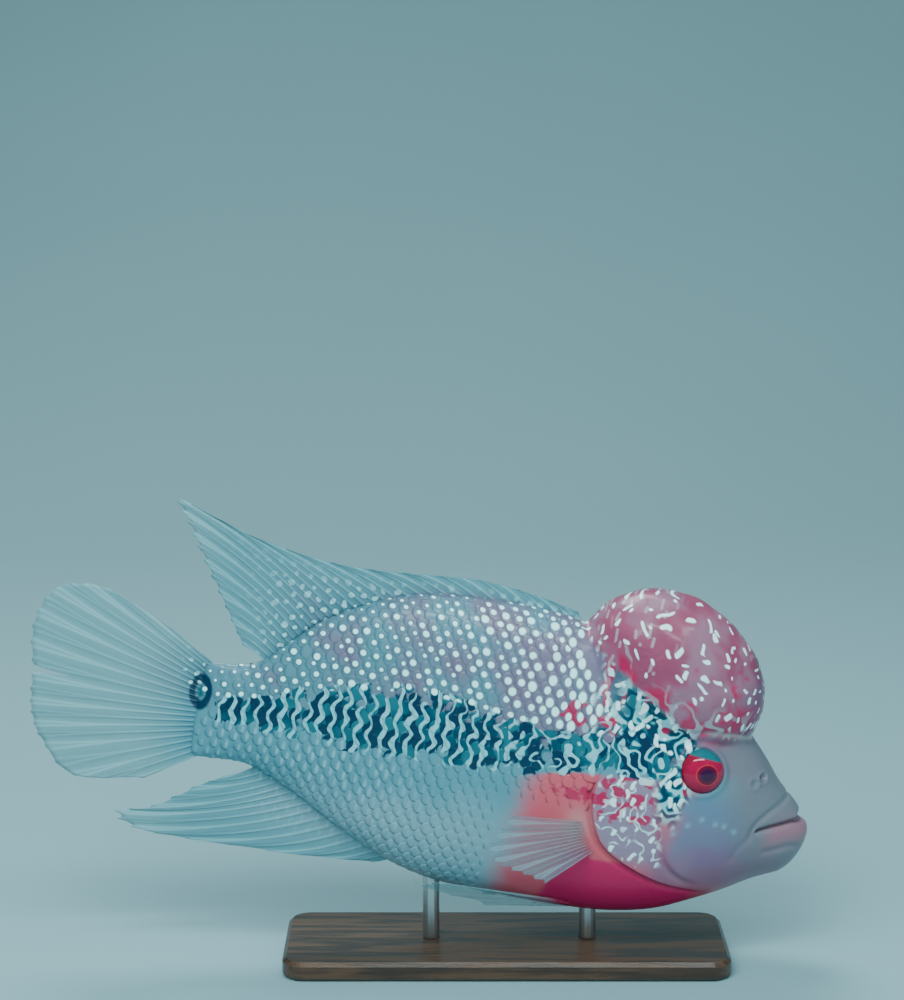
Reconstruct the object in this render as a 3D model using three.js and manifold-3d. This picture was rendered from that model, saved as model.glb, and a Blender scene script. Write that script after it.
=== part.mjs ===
// Flowerhorn cichlid, life size, head a little down, held over a plain base by two rods.
// Millimetres, +Z up. The fish faces +X and its right side faces -Y.
// The body is drawn in the fish's own frame, x from the tail base to the lips and z up,
// and one group turns it to its pose. The stand is drawn upright.

import * as THREE from 'three';
import { mergeVertices } from 'three/addons/utils/BufferGeometryUtils.js';
import Module from 'manifold-3d';

const wasm = await Module();
wasm.setup();

// Pose and the places of the fish's frame
const pitch = THREE.MathUtils.degToRad(10.84);
const tailBaseX = -75.5;
const tailBaseZ = 91.7;

// Fit between neighbours
const gap = 0.3;

// Body: from the end of the tail stalk to the front of the lower lip
const bodyStart = -3;
const bodyEnd = 218.3;
const stationCount = 34;
const ringCount = 24;
const lastStation = 0.996;

// Back, with the skull line under the hump, belly, half width and the height of the widest line
const backLine = [
  [-3, 17.2], [9, 18.0], [17, 21.0], [25, 29.0], [34, 38.0], [47, 46.6], [61, 53.0], [75, 56.3],
  [98, 58.0], [118, 57.2], [135, 53.6], [152, 47.5], [172, 38.0], [184, 31.4], [191.6, 26.6],
  [198.9, 19.2], [204.5, 12.6], [209.5, 8.2], [213.5, 4.4], [216.4, 0.8], [218.3, -4],
];
const bellyLine = [
  [-3, -18.6], [8, -17.2], [15.6, -16.9], [23, -18.4], [38.7, -25.2], [50.7, -31.8],
  [62.7, -37.6], [75.3, -42.8], [90, -46.0], [110, -47.0], [135, -46.8], [152, -45.7],
  [169, -41.8], [181, -36.2], [191.2, -30.8], [200, -25.2], [206, -22.2], [210.5, -20.2],
  [214, -16.8], [216.7, -11.8], [218.3, -4],
];
const halfWidthLine = [
  [-3, 1.4], [3, 3.6], [12, 6.2], [25, 9.2], [45, 13.2], [65, 17.0], [85, 20.0], [110, 22.6],
  [135, 24.2], [150, 24.6], [165, 24.2], [178, 22.2], [190, 18.8], [200, 15.2], [207, 12.2],
  [212, 9.4], [215.5, 6.6], [218.3, 0],
];
const widestLine = [
  [-3, -0.5], [30, 3], [60, 4], [100, 2], [150, 1], [180, -1], [200, -5], [218.3, -4],
];
const backRoundness = 1.86;
const bellyRoundness = 2.2;

// Hump on the forehead: an egg that leans forward
const humpCentre = [159.6, 42.6];
const humpHalf = { long: 35.2, wide: 23.2, high: 28.0 };
const humpLean = THREE.MathUtils.degToRad(27.7);

// Eyes
const eyeCentre = { x: 173.8, y: 18.7, z: 15.4 };
const eyeHalf = { long: 8.0, out: 5.6, high: 7.9 };
const eyeTilt = { up: 0.2, forward: 0.2 };
const rim = { tube: 1.25, clear: 0.4, out: 3.1 };

// Mouth, lips and nostrils
const mouthCorner = { x: 197.6, y: 13.4, z: -3.6 };
const mouthFront = { x: 211.4, z: 0.9 };
const mouthSlit = 0.7;
const upperLip = { radius: 2.3, rise: 2.1, push: 0.2 };
const lowerLip = { radius: 2.6, rise: -2.5, push: 3.6 };
// Share of a lip's radius and rise that is left at the corners, and how far it is drawn in there
const lipCorner = { share: 0.55, drawnIn: 0.6 };
const nostril = { x: 197, y: 10.6, z: 14.6, radius: 1.2, depth: 1.4 };
const jawOutline = [
  [226, 0.9], [211.4, 0.9], [203, -0.9], [197.6, -3.6], [192.4, -9], [188, -22], [182, -44], [226, -44],
];
// The upper jaw ends behind the lower one
const jawNotch = [[226, 0.2], [210.9, 0.2], [213.7, 5.2], [226, 5.2]];

// Gill covers: raised plates let into the head
const coverOutline = [
  [160.4, 15.5], [153, 19.5], [145.5, 18.2], [140.6, 12.6], [138.4, 4], [139.9, -7], [144.4, -15.3],
  [154, -21.4], [165.5, -25.2], [175.5, -26.4], [169, -19], [164.6, -11.5], [161.2, 0],
];
const coverProud = 1.0;
const coverSunk = 2.2;

// Lines that part the body
const neckLine = [
  [125.2, 80], [126.7, 56], [132.2, 34], [138.5, 20], [137, 4], [138.6, -8], [143.4, -17],
  [153.4, -23.6], [165, -27.8], [175, -31.4], [178, -60],
];
const stalkPlane = 26;

// Fins: thickness of the membrane and the rays, halves on each side of the middle
const membraneHalf = 0.27;
const rayHalf = { root: 0.85, tip: 0.32 };
const finRows = 4;
const rootSwell = 0.25;
const finBow = 1.5;

// Each fin's rays as root and tip, from the first ray to the last; those between are drawn
// along the smooth line through these
const dorsal = {
  count: 23, notch: 0.045, bend: 0.05,
  rays: [
    [[125, 55.6], [122.6, 59.0]], [[116, 56.4], [107, 62.0]], [[99, 57.0], [87, 63.6]],
    [[82, 56.2], [66, 61.9]], [[68, 53.8], [48, 60.4]], [[56, 49.6], [27, 60.6]],
    [[46, 45.2], [0, 65.4]], [[38, 39.8], [-22.8, 73.0]], [[32, 35.2], [-18.2, 65.2]],
    [[27, 30], [-9.6, 52.4]], [[22.5, 25.4], [0.4, 37.6]], [[18, 20.6], [8.8, 25.0]],
  ],
};
const anal = {
  count: 17, notch: 0.04, bend: -0.05,
  rays: [
    [[75, -41.6], [68.5, -44.8]], [[69, -39.8], [53, -46.0]], [[62, -36.6], [32, -47.4]],
    [[54, -32.8], [2, -48.6]], [[46, -28.6], [-18.6, -47.8]], [[40, -25], [-25.4, -43.2]],
    [[34, -22.2], [-13, -38.8]], [[28.6, -19.6], [0.2, -29.6]], [[22, -17], [10.6, -23.6]],
  ],
};
const caudal = {
  count: 18, notch: 0.03, bend: 0,
  rays: [
    [[2, 15.4], [-16.6, 26.4]], [[0, 13.4], [-40.5, 35.6]], [[-0.6, 10.6], [-56.4, 34.4]],
    [[-1, 7.6], [-63.6, 26]], [[-1.2, 4.4], [-65.6, 14.6]], [[-1.2, 1], [-63.2, 1.6]],
    [[-1.2, -2.6], [-62.4, -8.4]], [[-1, -6], [-60, -17]], [[-0.6, -9.4], [-54.6, -24.6]],
    [[0, -13], [-42.6, -33.6]], [[2, -16.4], [-17, -29.4]],
  ],
};
const caudalSway = 5;
const caudalSplit = { row: 9, depth: 0.24 };

// Paired fins: root line, length and direction in the fish's frame, for the right side
const pectoral = {
  count: 11, notch: 0.05,
  rootTop: [140.2, -21.8, -9], rootBottom: [144, -21.2, -17.6],
  reachTop: [-30, -14, 1.5], reachMiddle: [-36, -18, -9], reachBottom: [-17, -11, -13],
};
const pelvic = {
  count: 6, notch: 0.06,
  rootTop: [138, -12.5, -42], rootBottom: [144, -6.5, -44],
  reachTop: [-42, -6, 0.6], reachMiddle: [-57, -3, -4.2], reachBottom: [-34, 0.8, -7.0],
};

// Stand
const base = { long: 158, wide: 54, high: 7, centreX: 31, corner: 8, edge: 1.4 };
const rodRadius = 3;
const rodTopInFish = { front: 147, rear: 90 };
const rodIntoBelly = 4;
const rodSides = 16;

// Numbers that the shapes share
function smoothLine(points) {
  // Reads a profile at any x; close to the lips the steps shorten, so that the end is round.
  const span = bodyEnd - bodyStart;
  const toStep = (x) => Math.asin(THREE.MathUtils.clamp((x - bodyStart) / span, 0, 1));
  const steps = points.map(([x]) => toStep(x));
  const values = points.map(([, value]) => value);
  const slopes = steps.map((_, i) => {
    const before = Math.max(i - 1, 0);
    const after = Math.min(i + 1, steps.length - 1);
    return (values[after] - values[before]) / (steps[after] - steps[before]);
  });
  return (x) => {
    const s = toStep(x);
    let i = 0;
    while (i < steps.length - 2 && s > steps[i + 1]) i += 1;
    const width = steps[i + 1] - steps[i];
    const t = (s - steps[i]) / width;
    const a = 2 * t ** 3 - 3 * t ** 2 + 1;
    const b = t ** 3 - 2 * t ** 2 + t;
    const c = -2 * t ** 3 + 3 * t ** 2;
    const d = t ** 3 - t ** 2;
    return a * values[i] + b * width * slopes[i] + c * values[i + 1] + d * width * slopes[i + 1];
  };
}

const back = smoothLine(backLine);
const belly = smoothLine(bellyLine);
const halfWidth = smoothLine(halfWidthLine);
const widest = smoothLine(widestLine);

// A closed surface from rings of equal count, with a fan over each end
function skinRings(rings) {
  const count = rings[0].length;
  const positions = rings.flat();
  const first = positions.length;
  const centre = (ring) => ring.reduce((sum, p) => sum.map((v, k) => v + p[k] / count), [0, 0, 0]);
  positions.push(centre(rings[0]), centre(rings[rings.length - 1]));
  const index = [];
  for (let r = 0; r < rings.length - 1; r += 1) {
    for (let j = 0; j < count; j += 1) {
      const a = r * count + j;
      const b = r * count + ((j + 1) % count);
      index.push(a, b, a + count, b, b + count, a + count);
    }
  }
  const lastRing = (rings.length - 1) * count;
  for (let j = 0; j < count; j += 1) {
    const next = (j + 1) % count;
    index.push(first, next, j);
    index.push(first + 1, lastRing + j, lastRing + next);
  }
  return indexedGeometry(positions, index);
}

function indexedGeometry(positions, index) {
  const geometry = new THREE.BufferGeometry();
  geometry.setAttribute('position', new THREE.Float32BufferAttribute(positions.flat(), 3));
  geometry.setIndex(index);
  return geometry;
}

// Solids and back
function solid(geometry) {
  const bare = geometry.clone();
  bare.deleteAttribute('normal');
  bare.deleteAttribute('uv');
  const merged = mergeVertices(bare, 1e-4);
  const mesh = new wasm.Mesh({
    numProp: 3,
    vertProperties: new Float32Array(merged.attributes.position.array),
    triVerts: new Uint32Array(merged.index.array),
  });
  return new wasm.Manifold(mesh);
}

function largestPiece(body) {
  const pieces = body.decompose();
  pieces.sort((a, b) => b.volume() - a.volume());
  return pieces[0];
}

function meshOf(name, body, material) {
  const result = largestPiece(body).getMesh();
  const geometry = new THREE.BufferGeometry();
  geometry.setAttribute('position', new THREE.BufferAttribute(result.vertProperties, 3));
  geometry.setIndex(new THREE.BufferAttribute(result.triVerts, 1));
  geometry.computeVertexNormals();
  const mesh = new THREE.Mesh(geometry, material);
  mesh.name = name;
  return mesh;
}

// Body without its hump, grown by a margin on every side
function bodySolid(margin) {
  const rings = [];
  for (let i = 0; i <= stationCount; i += 1) {
    const share = i / stationCount;
    const s = Math.min(share, lastStation);
    const x = bodyStart + (bodyEnd - bodyStart) * Math.sin((s * Math.PI) / 2);
    const middle = widest(x);
    const top = back(x) + margin - middle;
    const bottom = middle - belly(x) + margin;
    const wide = halfWidth(x) + margin;
    const along = x + margin * (2 * share - 1);
    const ring = [];
    for (let j = 0; j < ringCount; j += 1) {
      const angle = (j / ringCount) * Math.PI * 2;
      const up = Math.cos(angle);
      const power = 2 / (up > 0 ? backRoundness : bellyRoundness);
      const y = wide * Math.sign(Math.sin(angle)) * Math.abs(Math.sin(angle)) ** power;
      const z = (up > 0 ? top : bottom) * Math.sign(up) * Math.abs(up) ** power;
      ring.push([along, -y, middle + z]);
    }
    rings.push(ring);
  }
  return solid(skinRings(rings));
}

// A side outline pushed through the whole width, or through one side
function outlineSolid(points, fromY = -60, toY = 60) {
  const shape = new THREE.Shape(points.map(([x, z]) => new THREE.Vector2(x, z)));
  const geometry = new THREE.ExtrudeGeometry(shape, { depth: toY - fromY, bevelEnabled: false });
  geometry.rotateX(Math.PI / 2);
  geometry.translate(0, toY, 0);
  return solid(geometry);
}

function smoothOutline(points, steps) {
  const curve = new THREE.CatmullRomCurve3(points.map(([x, z]) => new THREE.Vector3(x, 0, z)), true);
  return curve.getPoints(steps).slice(0, -1).map((p) => [p.x, p.z]);
}

// The same outline moved outwards, for the room around a plate
function grownOutline(points, distance) {
  const area = points.reduce((sum, [x, z], i) => {
    const [nx, nz] = points[(i + 1) % points.length];
    return sum + x * nz - nx * z;
  }, 0);
  const turn = Math.sign(area);
  return points.map(([x, z], i) => {
    const [bx, bz] = points[(i + points.length - 1) % points.length];
    const [ax, az] = points[(i + 1) % points.length];
    const length = Math.hypot(ax - bx, az - bz);
    return [x + (turn * distance * (az - bz)) / length, z - (turn * distance * (ax - bx)) / length];
  });
}

function ellipsoid(half, wideSteps, highSteps) {
  const geometry = new THREE.SphereGeometry(1, wideSteps, highSteps);
  geometry.scale(half[0], half[1], half[2]);
  return geometry;
}

function humpSolid() {
  const geometry = ellipsoid([humpHalf.long, humpHalf.wide, humpHalf.high], 30, 20);
  geometry.rotateY(humpLean);
  geometry.translate(humpCentre[0], 0, humpCentre[1]);
  return solid(geometry);
}

// Eyeball, and the same form grown for its socket; side is -1 on the right and 1 on the left
function placeAtEye(geometry, side) {
  geometry.rotateX(side * eyeTilt.up);
  geometry.rotateZ(-side * eyeTilt.forward);
  geometry.translate(eyeCentre.x, side * eyeCentre.y, eyeCentre.z);
  return geometry;
}

function eyeSolid(side, margin) {
  const half = [eyeHalf.long + margin, eyeHalf.out + margin, eyeHalf.high + margin];
  return solid(placeAtEye(ellipsoid(half, 18, 12), side));
}

function rimSolid(side) {
  const geometry = new THREE.TorusGeometry(eyeHalf.long + rim.clear, rim.tube, 6, 24);
  geometry.rotateX(Math.PI / 2);
  geometry.translate(0, side * rim.out, 0);
  return solid(placeAtEye(geometry, side));
}

// A roll that follows the mouth from corner to corner
function lipSolid(lip) {
  const steps = 16;
  const sides = 8;
  const { share, drawnIn } = lipCorner;
  const rings = [];
  for (let i = 0; i <= steps; i += 1) {
    const turn = (i / steps - 0.5) * Math.PI;
    const reach = mouthFront.x - mouthCorner.x + lip.push - lip.radius;
    const forward = Math.cos(turn);
    const x = mouthCorner.x + reach * forward;
    const y = (mouthCorner.y - lip.radius * drawnIn) * Math.sin(turn);
    const z = THREE.MathUtils.lerp(mouthCorner.z, mouthFront.z, forward)
      + lip.rise * (share + (1 - share) * forward);
    const radius = lip.radius * (share + (1 - share) * Math.sqrt(forward + 1e-6));
    const out = [Math.cos(turn), Math.sin(turn)];
    const ring = [];
    for (let j = 0; j < sides; j += 1) {
      const angle = (j / sides) * Math.PI * 2;
      const push = radius * Math.cos(angle);
      ring.push([x + out[0] * push, y + out[1] * push, z + radius * Math.sin(angle)]);
    }
    rings.push(ring);
  }
  return solid(skinRings(rings));
}

// Fins
function along(points, share) {
  const curve = new THREE.CatmullRomCurve3(points.map((p) => new THREE.Vector3(...p)), false, 'centripetal');
  return curve.getPoint(share);
}

// A fin is a grid of rays and membrane between them, both faces split alike.
// place(u, v) gives the middle of the fin, side is the direction of its thickness.
function finSolid({ count, notch, place, side, split = null }) {
  const columns = 2 * count - 1;
  const near = [];
  const far = [];
  for (let c = 0; c < columns; c += 1) {
    const onRay = c % 2 === 0;
    let reach = onRay ? 1 : 1 - notch;
    if (split && c === 2 * split.row - 1) reach = 1 - split.depth;
    for (let r = 0; r <= finRows; r += 1) {
      const v = (r / finRows) * reach;
      const middle = place(c / (columns - 1), v);
      const ray = THREE.MathUtils.lerp(rayHalf.root, rayHalf.tip, v);
      const half = onRay ? ray : membraneHalf + rootSwell * (1 - v) ** 4;
      near.push(middle.clone().addScaledVector(side, half).toArray());
      far.push(middle.clone().addScaledVector(side, -half).toArray());
    }
  }
  const rows = finRows + 1;
  const behind = near.length;
  const index = [];
  const quad = (a, b, c, d) => index.push(a, b, c, a, c, d);
  for (let c = 0; c < columns - 1; c += 1) {
    for (let r = 0; r < finRows; r += 1) {
      const a = c * rows + r;
      const b = a + rows;
      if (c % 2 === 0) {
        index.push(a, b, a + 1, b, b + 1, a + 1);
        index.push(behind + a, behind + a + 1, behind + b, behind + b, behind + a + 1, behind + b + 1);
      } else {
        index.push(a, b, b + 1, a, b + 1, a + 1);
        index.push(behind + a, behind + b + 1, behind + b, behind + a, behind + a + 1, behind + b + 1);
      }
    }
    const root = c * rows;
    const tip = root + finRows;
    quad(root, behind + root, behind + root + rows, root + rows);
    quad(tip, tip + rows, behind + tip + rows, behind + tip);
  }
  for (let r = 0; r < finRows; r += 1) {
    const last = (columns - 1) * rows + r;
    quad(r, r + 1, behind + r + 1, behind + r);
    quad(last, behind + last, behind + last + 1, last + 1);
  }
  const body = solid(indexedGeometry([...near, ...far], index));
  return body.volume() > 0 ? body : solid(indexedGeometry([...far, ...near], index));
}

// A fin in the fish's middle plane, its rays between a root line and a tip line
function middleFin(fin, sway, split) {
  const roots = fin.rays.map(([root]) => [root[0], 0, root[1]]);
  const tips = fin.rays.map(([, tip]) => [tip[0], 0, tip[1]]);
  const place = (u, v) => {
    const root = along(roots, u);
    const tip = along(tips, u);
    const point = root.clone().lerp(tip, v);
    const bow = fin.bend * 4 * v * (1 - v) * root.distanceTo(tip);
    point.z += bow;
    point.y = sway(point.x, v);
    return point;
  };
  return finSolid({ ...fin, place, side: new THREE.Vector3(0, 1, 0), split });
}

// A paired fin fans out from a short root line
function pairedFin(fin, side) {
  const turn = ([x, y, z]) => new THREE.Vector3(x, -side * y, z);
  const top = turn(fin.rootTop);
  const bottom = turn(fin.rootBottom);
  const reaches = [fin.reachTop, fin.reachMiddle, fin.reachBottom].map(([x, y, z]) => [x, -side * y, z]);
  const across = bottom.clone().sub(top);
  const reach = new THREE.Vector3(...reaches[1]);
  const normal = across.clone().cross(reach).normalize().multiplyScalar(-side);
  const place = (u, v) => {
    const point = top.clone().lerp(bottom, u).addScaledVector(along(reaches, u), v);
    return point.addScaledVector(normal, finBow * v * v * Math.sin(u * Math.PI));
  };
  return finSolid({ ...fin, place, side: normal });
}

// Materials
const flank = new THREE.MeshStandardMaterial({ color: 0x93aab4, roughness: 0.42, metalness: 0.1 });
const blush = new THREE.MeshStandardMaterial({ color: 0xc97f8b, roughness: 0.4, metalness: 0.05 });
const crimson = new THREE.MeshStandardMaterial({ color: 0xc8566e, roughness: 0.38, metalness: 0.0 });
const coverTone = new THREE.MeshStandardMaterial({ color: 0xb07f92, roughness: 0.38, metalness: 0.1 });
const finTone = new THREE.MeshStandardMaterial({ color: 0xa9c3cc, roughness: 0.35, metalness: 0.0 });
const eyeTone = new THREE.MeshStandardMaterial({ color: 0xc3182a, roughness: 0.12, metalness: 0.0 });
const woodTone = new THREE.MeshStandardMaterial({ color: 0x3b2a20, roughness: 0.45, metalness: 0.0 });
const steelTone = new THREE.MeshStandardMaterial({ color: 0xb9bdc0, roughness: 0.28, metalness: 1.0 });

// The fish
function makeFish() {
  const fish = new THREE.Group();
  const body = bodySolid(0);
  const room = bodySolid(gap);

  const cover = smoothOutline(coverOutline, 30);
  const coverRoom = outlineSolid(grownOutline(cover, gap));
  const coverWall = bodySolid(coverProud).subtract(bodySolid(-coverSunk)).intersect(outlineSolid(cover));
  const coverBed = coverRoom.subtract(bodySolid(-coverSunk - gap));

  const ahead = outlineSolid([...neckLine, [300, -60], [300, 80]]);
  const behind = outlineSolid([...grownOutline([...neckLine, [300, -60], [300, 80]], gap)]);
  const jawShape = outlineSolid(jawOutline);
  const jawRoom = outlineSolid(grownOutline(jawOutline, mouthSlit));

  let head = body.add(lipSolid(upperLip));
  for (const side of [-1, 1]) head = head.add(rimSolid(side));
  head = head.intersect(ahead).subtract(jawRoom).subtract(outlineSolid(jawNotch)).subtract(coverBed);
  for (const side of [-1, 1]) {
    head = head.subtract(eyeSolid(side, gap));
    const pit = ellipsoid([nostril.radius, nostril.depth, nostril.radius], 12, 8);
    pit.translate(nostril.x, side * nostril.y, nostril.z);
    head = head.subtract(solid(pit));
    const plate = coverWall.intersect(outlineSolid([[90, -90], [260, -90], [260, 90], [90, 90]],
      side < 0 ? -60 : 0, side < 0 ? 0 : 60));
    const sideName = side < 0 ? 'right' : 'left';
    fish.add(meshOf(`gill_cover_${sideName}`, plate, coverTone));
    fish.add(meshOf(`eye_${sideName}`, eyeSolid(side, 0), eyeTone));
  }
  fish.add(meshOf('head', head, blush));
  fish.add(meshOf('lower_jaw', body.add(lipSolid(lowerLip)).intersect(jawShape), blush));
  fish.add(meshOf('hump', humpSolid().subtract(room), crimson));

  const rest = body.subtract(behind);
  const stalk = outlineSolid([[-90, -90], [stalkPlane, -90], [stalkPlane, 90], [-90, 90]]);
  const stalkRoom = outlineSolid([[-90, -90], [stalkPlane + gap, -90], [stalkPlane + gap, 90], [-90, 90]]);
  fish.add(meshOf('tail_stalk', rest.intersect(stalk), flank));
  fish.add(meshOf('trunk', rest.subtract(stalkRoom), flank));

  const straight = () => 0;
  const curved = (x) => caudalSway * (Math.max(-x, 0) / 65) ** 2;
  fish.add(meshOf('dorsal_fin', middleFin(dorsal, straight).subtract(room), finTone));
  fish.add(meshOf('anal_fin', middleFin(anal, straight).subtract(room), finTone));
  fish.add(meshOf('caudal_fin', middleFin(caudal, curved, caudalSplit).subtract(room), finTone));
  const finRoom = room.add(bodySolid(coverProud + gap).intersect(coverRoom));
  for (const side of [-1, 1]) {
    const sideName = side < 0 ? 'right' : 'left';
    fish.add(meshOf(`pectoral_fin_${sideName}`, pairedFin(pectoral, side).subtract(finRoom), finTone));
    fish.add(meshOf(`pelvic_fin_${sideName}`, pairedFin(pelvic, side).subtract(room), finTone));
  }
  fish.rotation.y = pitch;
  fish.position.set(tailBaseX, 0, tailBaseZ);
  fish.updateMatrixWorld(true);
  return fish;
}

// The stand: a flat base and two rods that end against the belly
function makeStand(fish) {
  const stand = new THREE.Group();
  const corners = new THREE.Shape();
  const halfLong = base.long / 2 - base.edge;
  const halfWide = base.wide / 2 - base.edge;
  const corner = base.corner - base.edge;
  corners.moveTo(-halfLong + corner, -halfWide);
  corners.absarc(halfLong - corner, -halfWide + corner, corner, -Math.PI / 2, 0);
  corners.absarc(halfLong - corner, halfWide - corner, corner, 0, Math.PI / 2);
  corners.absarc(-halfLong + corner, halfWide - corner, corner, Math.PI / 2, Math.PI);
  corners.absarc(-halfLong + corner, -halfWide + corner, corner, Math.PI, Math.PI * 1.5);
  const block = new THREE.ExtrudeGeometry(corners, {
    depth: base.high - 2 * base.edge, bevelEnabled: true, bevelThickness: base.edge,
    bevelSize: base.edge, bevelSegments: 1, curveSegments: 4,
  });
  block.translate(base.centreX, 0, base.edge);
  stand.add(meshOf('stand_base', solid(block), woodTone));

  const room = bodySolid(gap).transform(fish.matrixWorld.toArray());
  const bottom = base.high + gap;
  for (const [name, x] of Object.entries(rodTopInFish)) {
    const foot = new THREE.Vector3(x, 0, belly(x)).applyMatrix4(fish.matrixWorld);
    const top = foot.z + rodIntoBelly;
    const rod = new THREE.CylinderGeometry(rodRadius, rodRadius, top - bottom, rodSides);
    rod.rotateX(Math.PI / 2);
    rod.translate(foot.x, 0, (top + bottom) / 2);
    stand.add(meshOf(`stand_rod_${name}`, solid(rod).subtract(room), steelTone));
  }
  return stand;
}

const fish = makeFish();
const model = new THREE.Group();
model.add(fish);
model.add(makeStand(fish));

export default model;
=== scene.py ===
import math
import bmesh
import bpy
import numpy as np
from mathutils import Matrix, Vector

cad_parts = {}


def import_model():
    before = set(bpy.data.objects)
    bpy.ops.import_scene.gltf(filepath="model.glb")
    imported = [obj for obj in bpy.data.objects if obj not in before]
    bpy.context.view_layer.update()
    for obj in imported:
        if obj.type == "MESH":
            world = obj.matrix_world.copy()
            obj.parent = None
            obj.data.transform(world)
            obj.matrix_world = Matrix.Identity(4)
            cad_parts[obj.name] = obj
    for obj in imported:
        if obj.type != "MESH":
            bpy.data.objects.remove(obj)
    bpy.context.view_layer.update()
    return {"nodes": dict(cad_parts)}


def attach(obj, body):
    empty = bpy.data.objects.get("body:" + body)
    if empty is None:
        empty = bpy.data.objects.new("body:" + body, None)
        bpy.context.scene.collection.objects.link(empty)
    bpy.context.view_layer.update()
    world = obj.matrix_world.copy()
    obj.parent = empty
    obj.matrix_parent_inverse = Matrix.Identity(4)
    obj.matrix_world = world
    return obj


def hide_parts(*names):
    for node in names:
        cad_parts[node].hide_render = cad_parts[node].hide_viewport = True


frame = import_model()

mm = 0.001
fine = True

# The fish's own frame: x from the tail base to the lips, z up, in millimetres
pose = dict(pitch=math.radians(10.84), tailX=-75.5, tailZ=91.7)
turnCos, turnSin = math.cos(pose["pitch"]), math.sin(pose["pitch"])


def toWorld(points):
    x, y, z = np.asarray(points, float).T
    return np.stack([pose["tailX"] + x * turnCos + z * turnSin, y,
                     pose["tailZ"] - x * turnSin + z * turnCos], 1) * mm


def unturned(x, y, z):
    return np.stack([x * turnCos - z * turnSin, y, x * turnSin + z * turnCos], 1)


def toFish(points):
    x, y, z = np.asarray(points, float).T / mm
    return unturned(x - pose["tailX"], y, z - pose["tailZ"])


def soft(value, low, high):
    t = np.clip((np.asarray(value, float) - low) / (high - low), 0, 1)
    return t * t * (3 - 2 * t)


def bump(value, width):
    return np.exp(-(np.asarray(value, float) / width) ** 2)


# Camera at the photograph's angle, soft studio light and a pale backdrop, in metres
view = dict(place=(0.01171, -0.85534, 0.32178), down=math.radians(10.3), lens=90, sensor=36)
light = dict(aim=(0.02, 0, 0.09), tint=(0.88, 1.0, 1.0), sky=(0.62, 0.92, 1.0), skyPower=0.32)
lamps = dict(
    key=dict(place=(-0.35, -0.80, 0.95), size=(0.8, 0.8), power=17, reflects=False),
    fill=dict(place=(0.8, -0.6, 0.4), size=(0.7, 0.7), power=4.5, reflects=False),
    rim=dict(place=(-0.2, 0.5, 1.2), size=(0.5, 0.5), power=12, reflects=True),
    strip=dict(place=(0.10, -0.45, 0.80), size=(0.7, 0.10), power=3.5, reflects=True))
sweep = dict(front=-2.5, bend=0.7, radius=0.9, top=3.0, half=3.5, steps=40, flatPart=0.3, wallPart=0.3,
             tone=(0.20, 0.36, 0.40), vary=0.05, grain=3.0, rough=0.8)


def addObject(name, data):
    made = bpy.data.objects.new(name, data)
    bpy.context.scene.collection.objects.link(made)
    return made


def setCamera():
    camera = addObject("camera", bpy.data.cameras.new("camera"))
    camera.location = view["place"]
    camera.rotation_euler = (math.pi / 2 - view["down"], 0, 0)
    camera.data.lens = view["lens"]
    camera.data.sensor_width = view["sensor"]
    bpy.context.scene.camera = camera


def setLight():
    for name, lamp in lamps.items():
        area = bpy.data.lights.new(name, "AREA")
        area.energy = lamp["power"]
        area.color = light["tint"]
        area.shape = "RECTANGLE"
        area.size, area.size_y = lamp["size"]
        hung = addObject(name, area)
        hung.location = lamp["place"]
        hung.visible_glossy = lamp["reflects"]
        aim = Vector(light["aim"]) - Vector(lamp["place"])
        hung.rotation_euler = aim.to_track_quat("-Z", "Y").to_euler()
    world = bpy.data.worlds.new("studio")
    world.use_nodes = True
    background = world.node_tree.nodes["Background"]
    background.inputs["Color"].default_value = (*light["sky"], 1)
    background.inputs["Strength"].default_value = light["skyPower"]
    bpy.context.scene.world = world


def makeBackdrop():
    bm = bmesh.new()
    bmesh.ops.create_grid(bm, x_segments=1, y_segments=sweep["steps"], size=1)
    flatPart, wallPart, radius = sweep["flatPart"], sweep["wallPart"], sweep["radius"]
    for vert in bm.verts:
        # floor up to the bend, a quarter turn, then a wall
        share = vert.co.y * 0.5 + 0.5
        turn = min(max((share - flatPart) / (1 - flatPart - wallPart), 0), 1) * math.pi / 2
        floor = sweep["front"] + (sweep["bend"] - sweep["front"]) * min(share / flatPart, 1)
        wall = (sweep["top"] - radius) * max((share - 1 + wallPart) / wallPart, 0)
        vert.co = (vert.co.x * sweep["half"], floor + radius * math.sin(turn),
                   radius * (1 - math.cos(turn)) + wall)
    backdrop = finishMesh(bm, "backdrop")
    shop = Shop("pale paper")
    grain = shop.noise(shop.objectPlace(), sweep["grain"], 3, 0.5)
    dark, pale = [(*[c * (1 + k) for c in sweep["tone"]], 1) for k in (-sweep["vary"], sweep["vary"])]
    paper = shop.surface({"Base Color": shop.mix(grain, dark, pale), "Roughness": sweep["rough"]})
    backdrop.data.materials.append(paper)


# Shader maths: a wire is a socket that adds its maths nodes when it is used in an expression
class Wire:
    def __init__(self, shop, socket):
        self.shop, self.socket = shop, socket

    def math(self, kind, *others):
        values = {0: self}
        for i, other in enumerate(others):
            values[i + 1] = other
        return self.shop.node("ShaderNodeMath", {"operation": kind}, values)

    def other(self, output):
        return Wire(self.shop, self.socket.node.outputs[output])

    def __add__(self, other):
        return self.math("ADD", other)

    def __sub__(self, other):
        return self.math("SUBTRACT", other)

    def __mul__(self, other):
        return self.math("MULTIPLY", other)

    def __truediv__(self, other):
        return self.math("DIVIDE", other)

    def __pow__(self, other):
        return self.math("POWER", other)

    def __rsub__(self, other):
        return self.shop.node("ShaderNodeMath", {"operation": "SUBTRACT"}, {0: other, 1: self})

    __radd__ = __add__
    __rmul__ = __mul__


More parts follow.
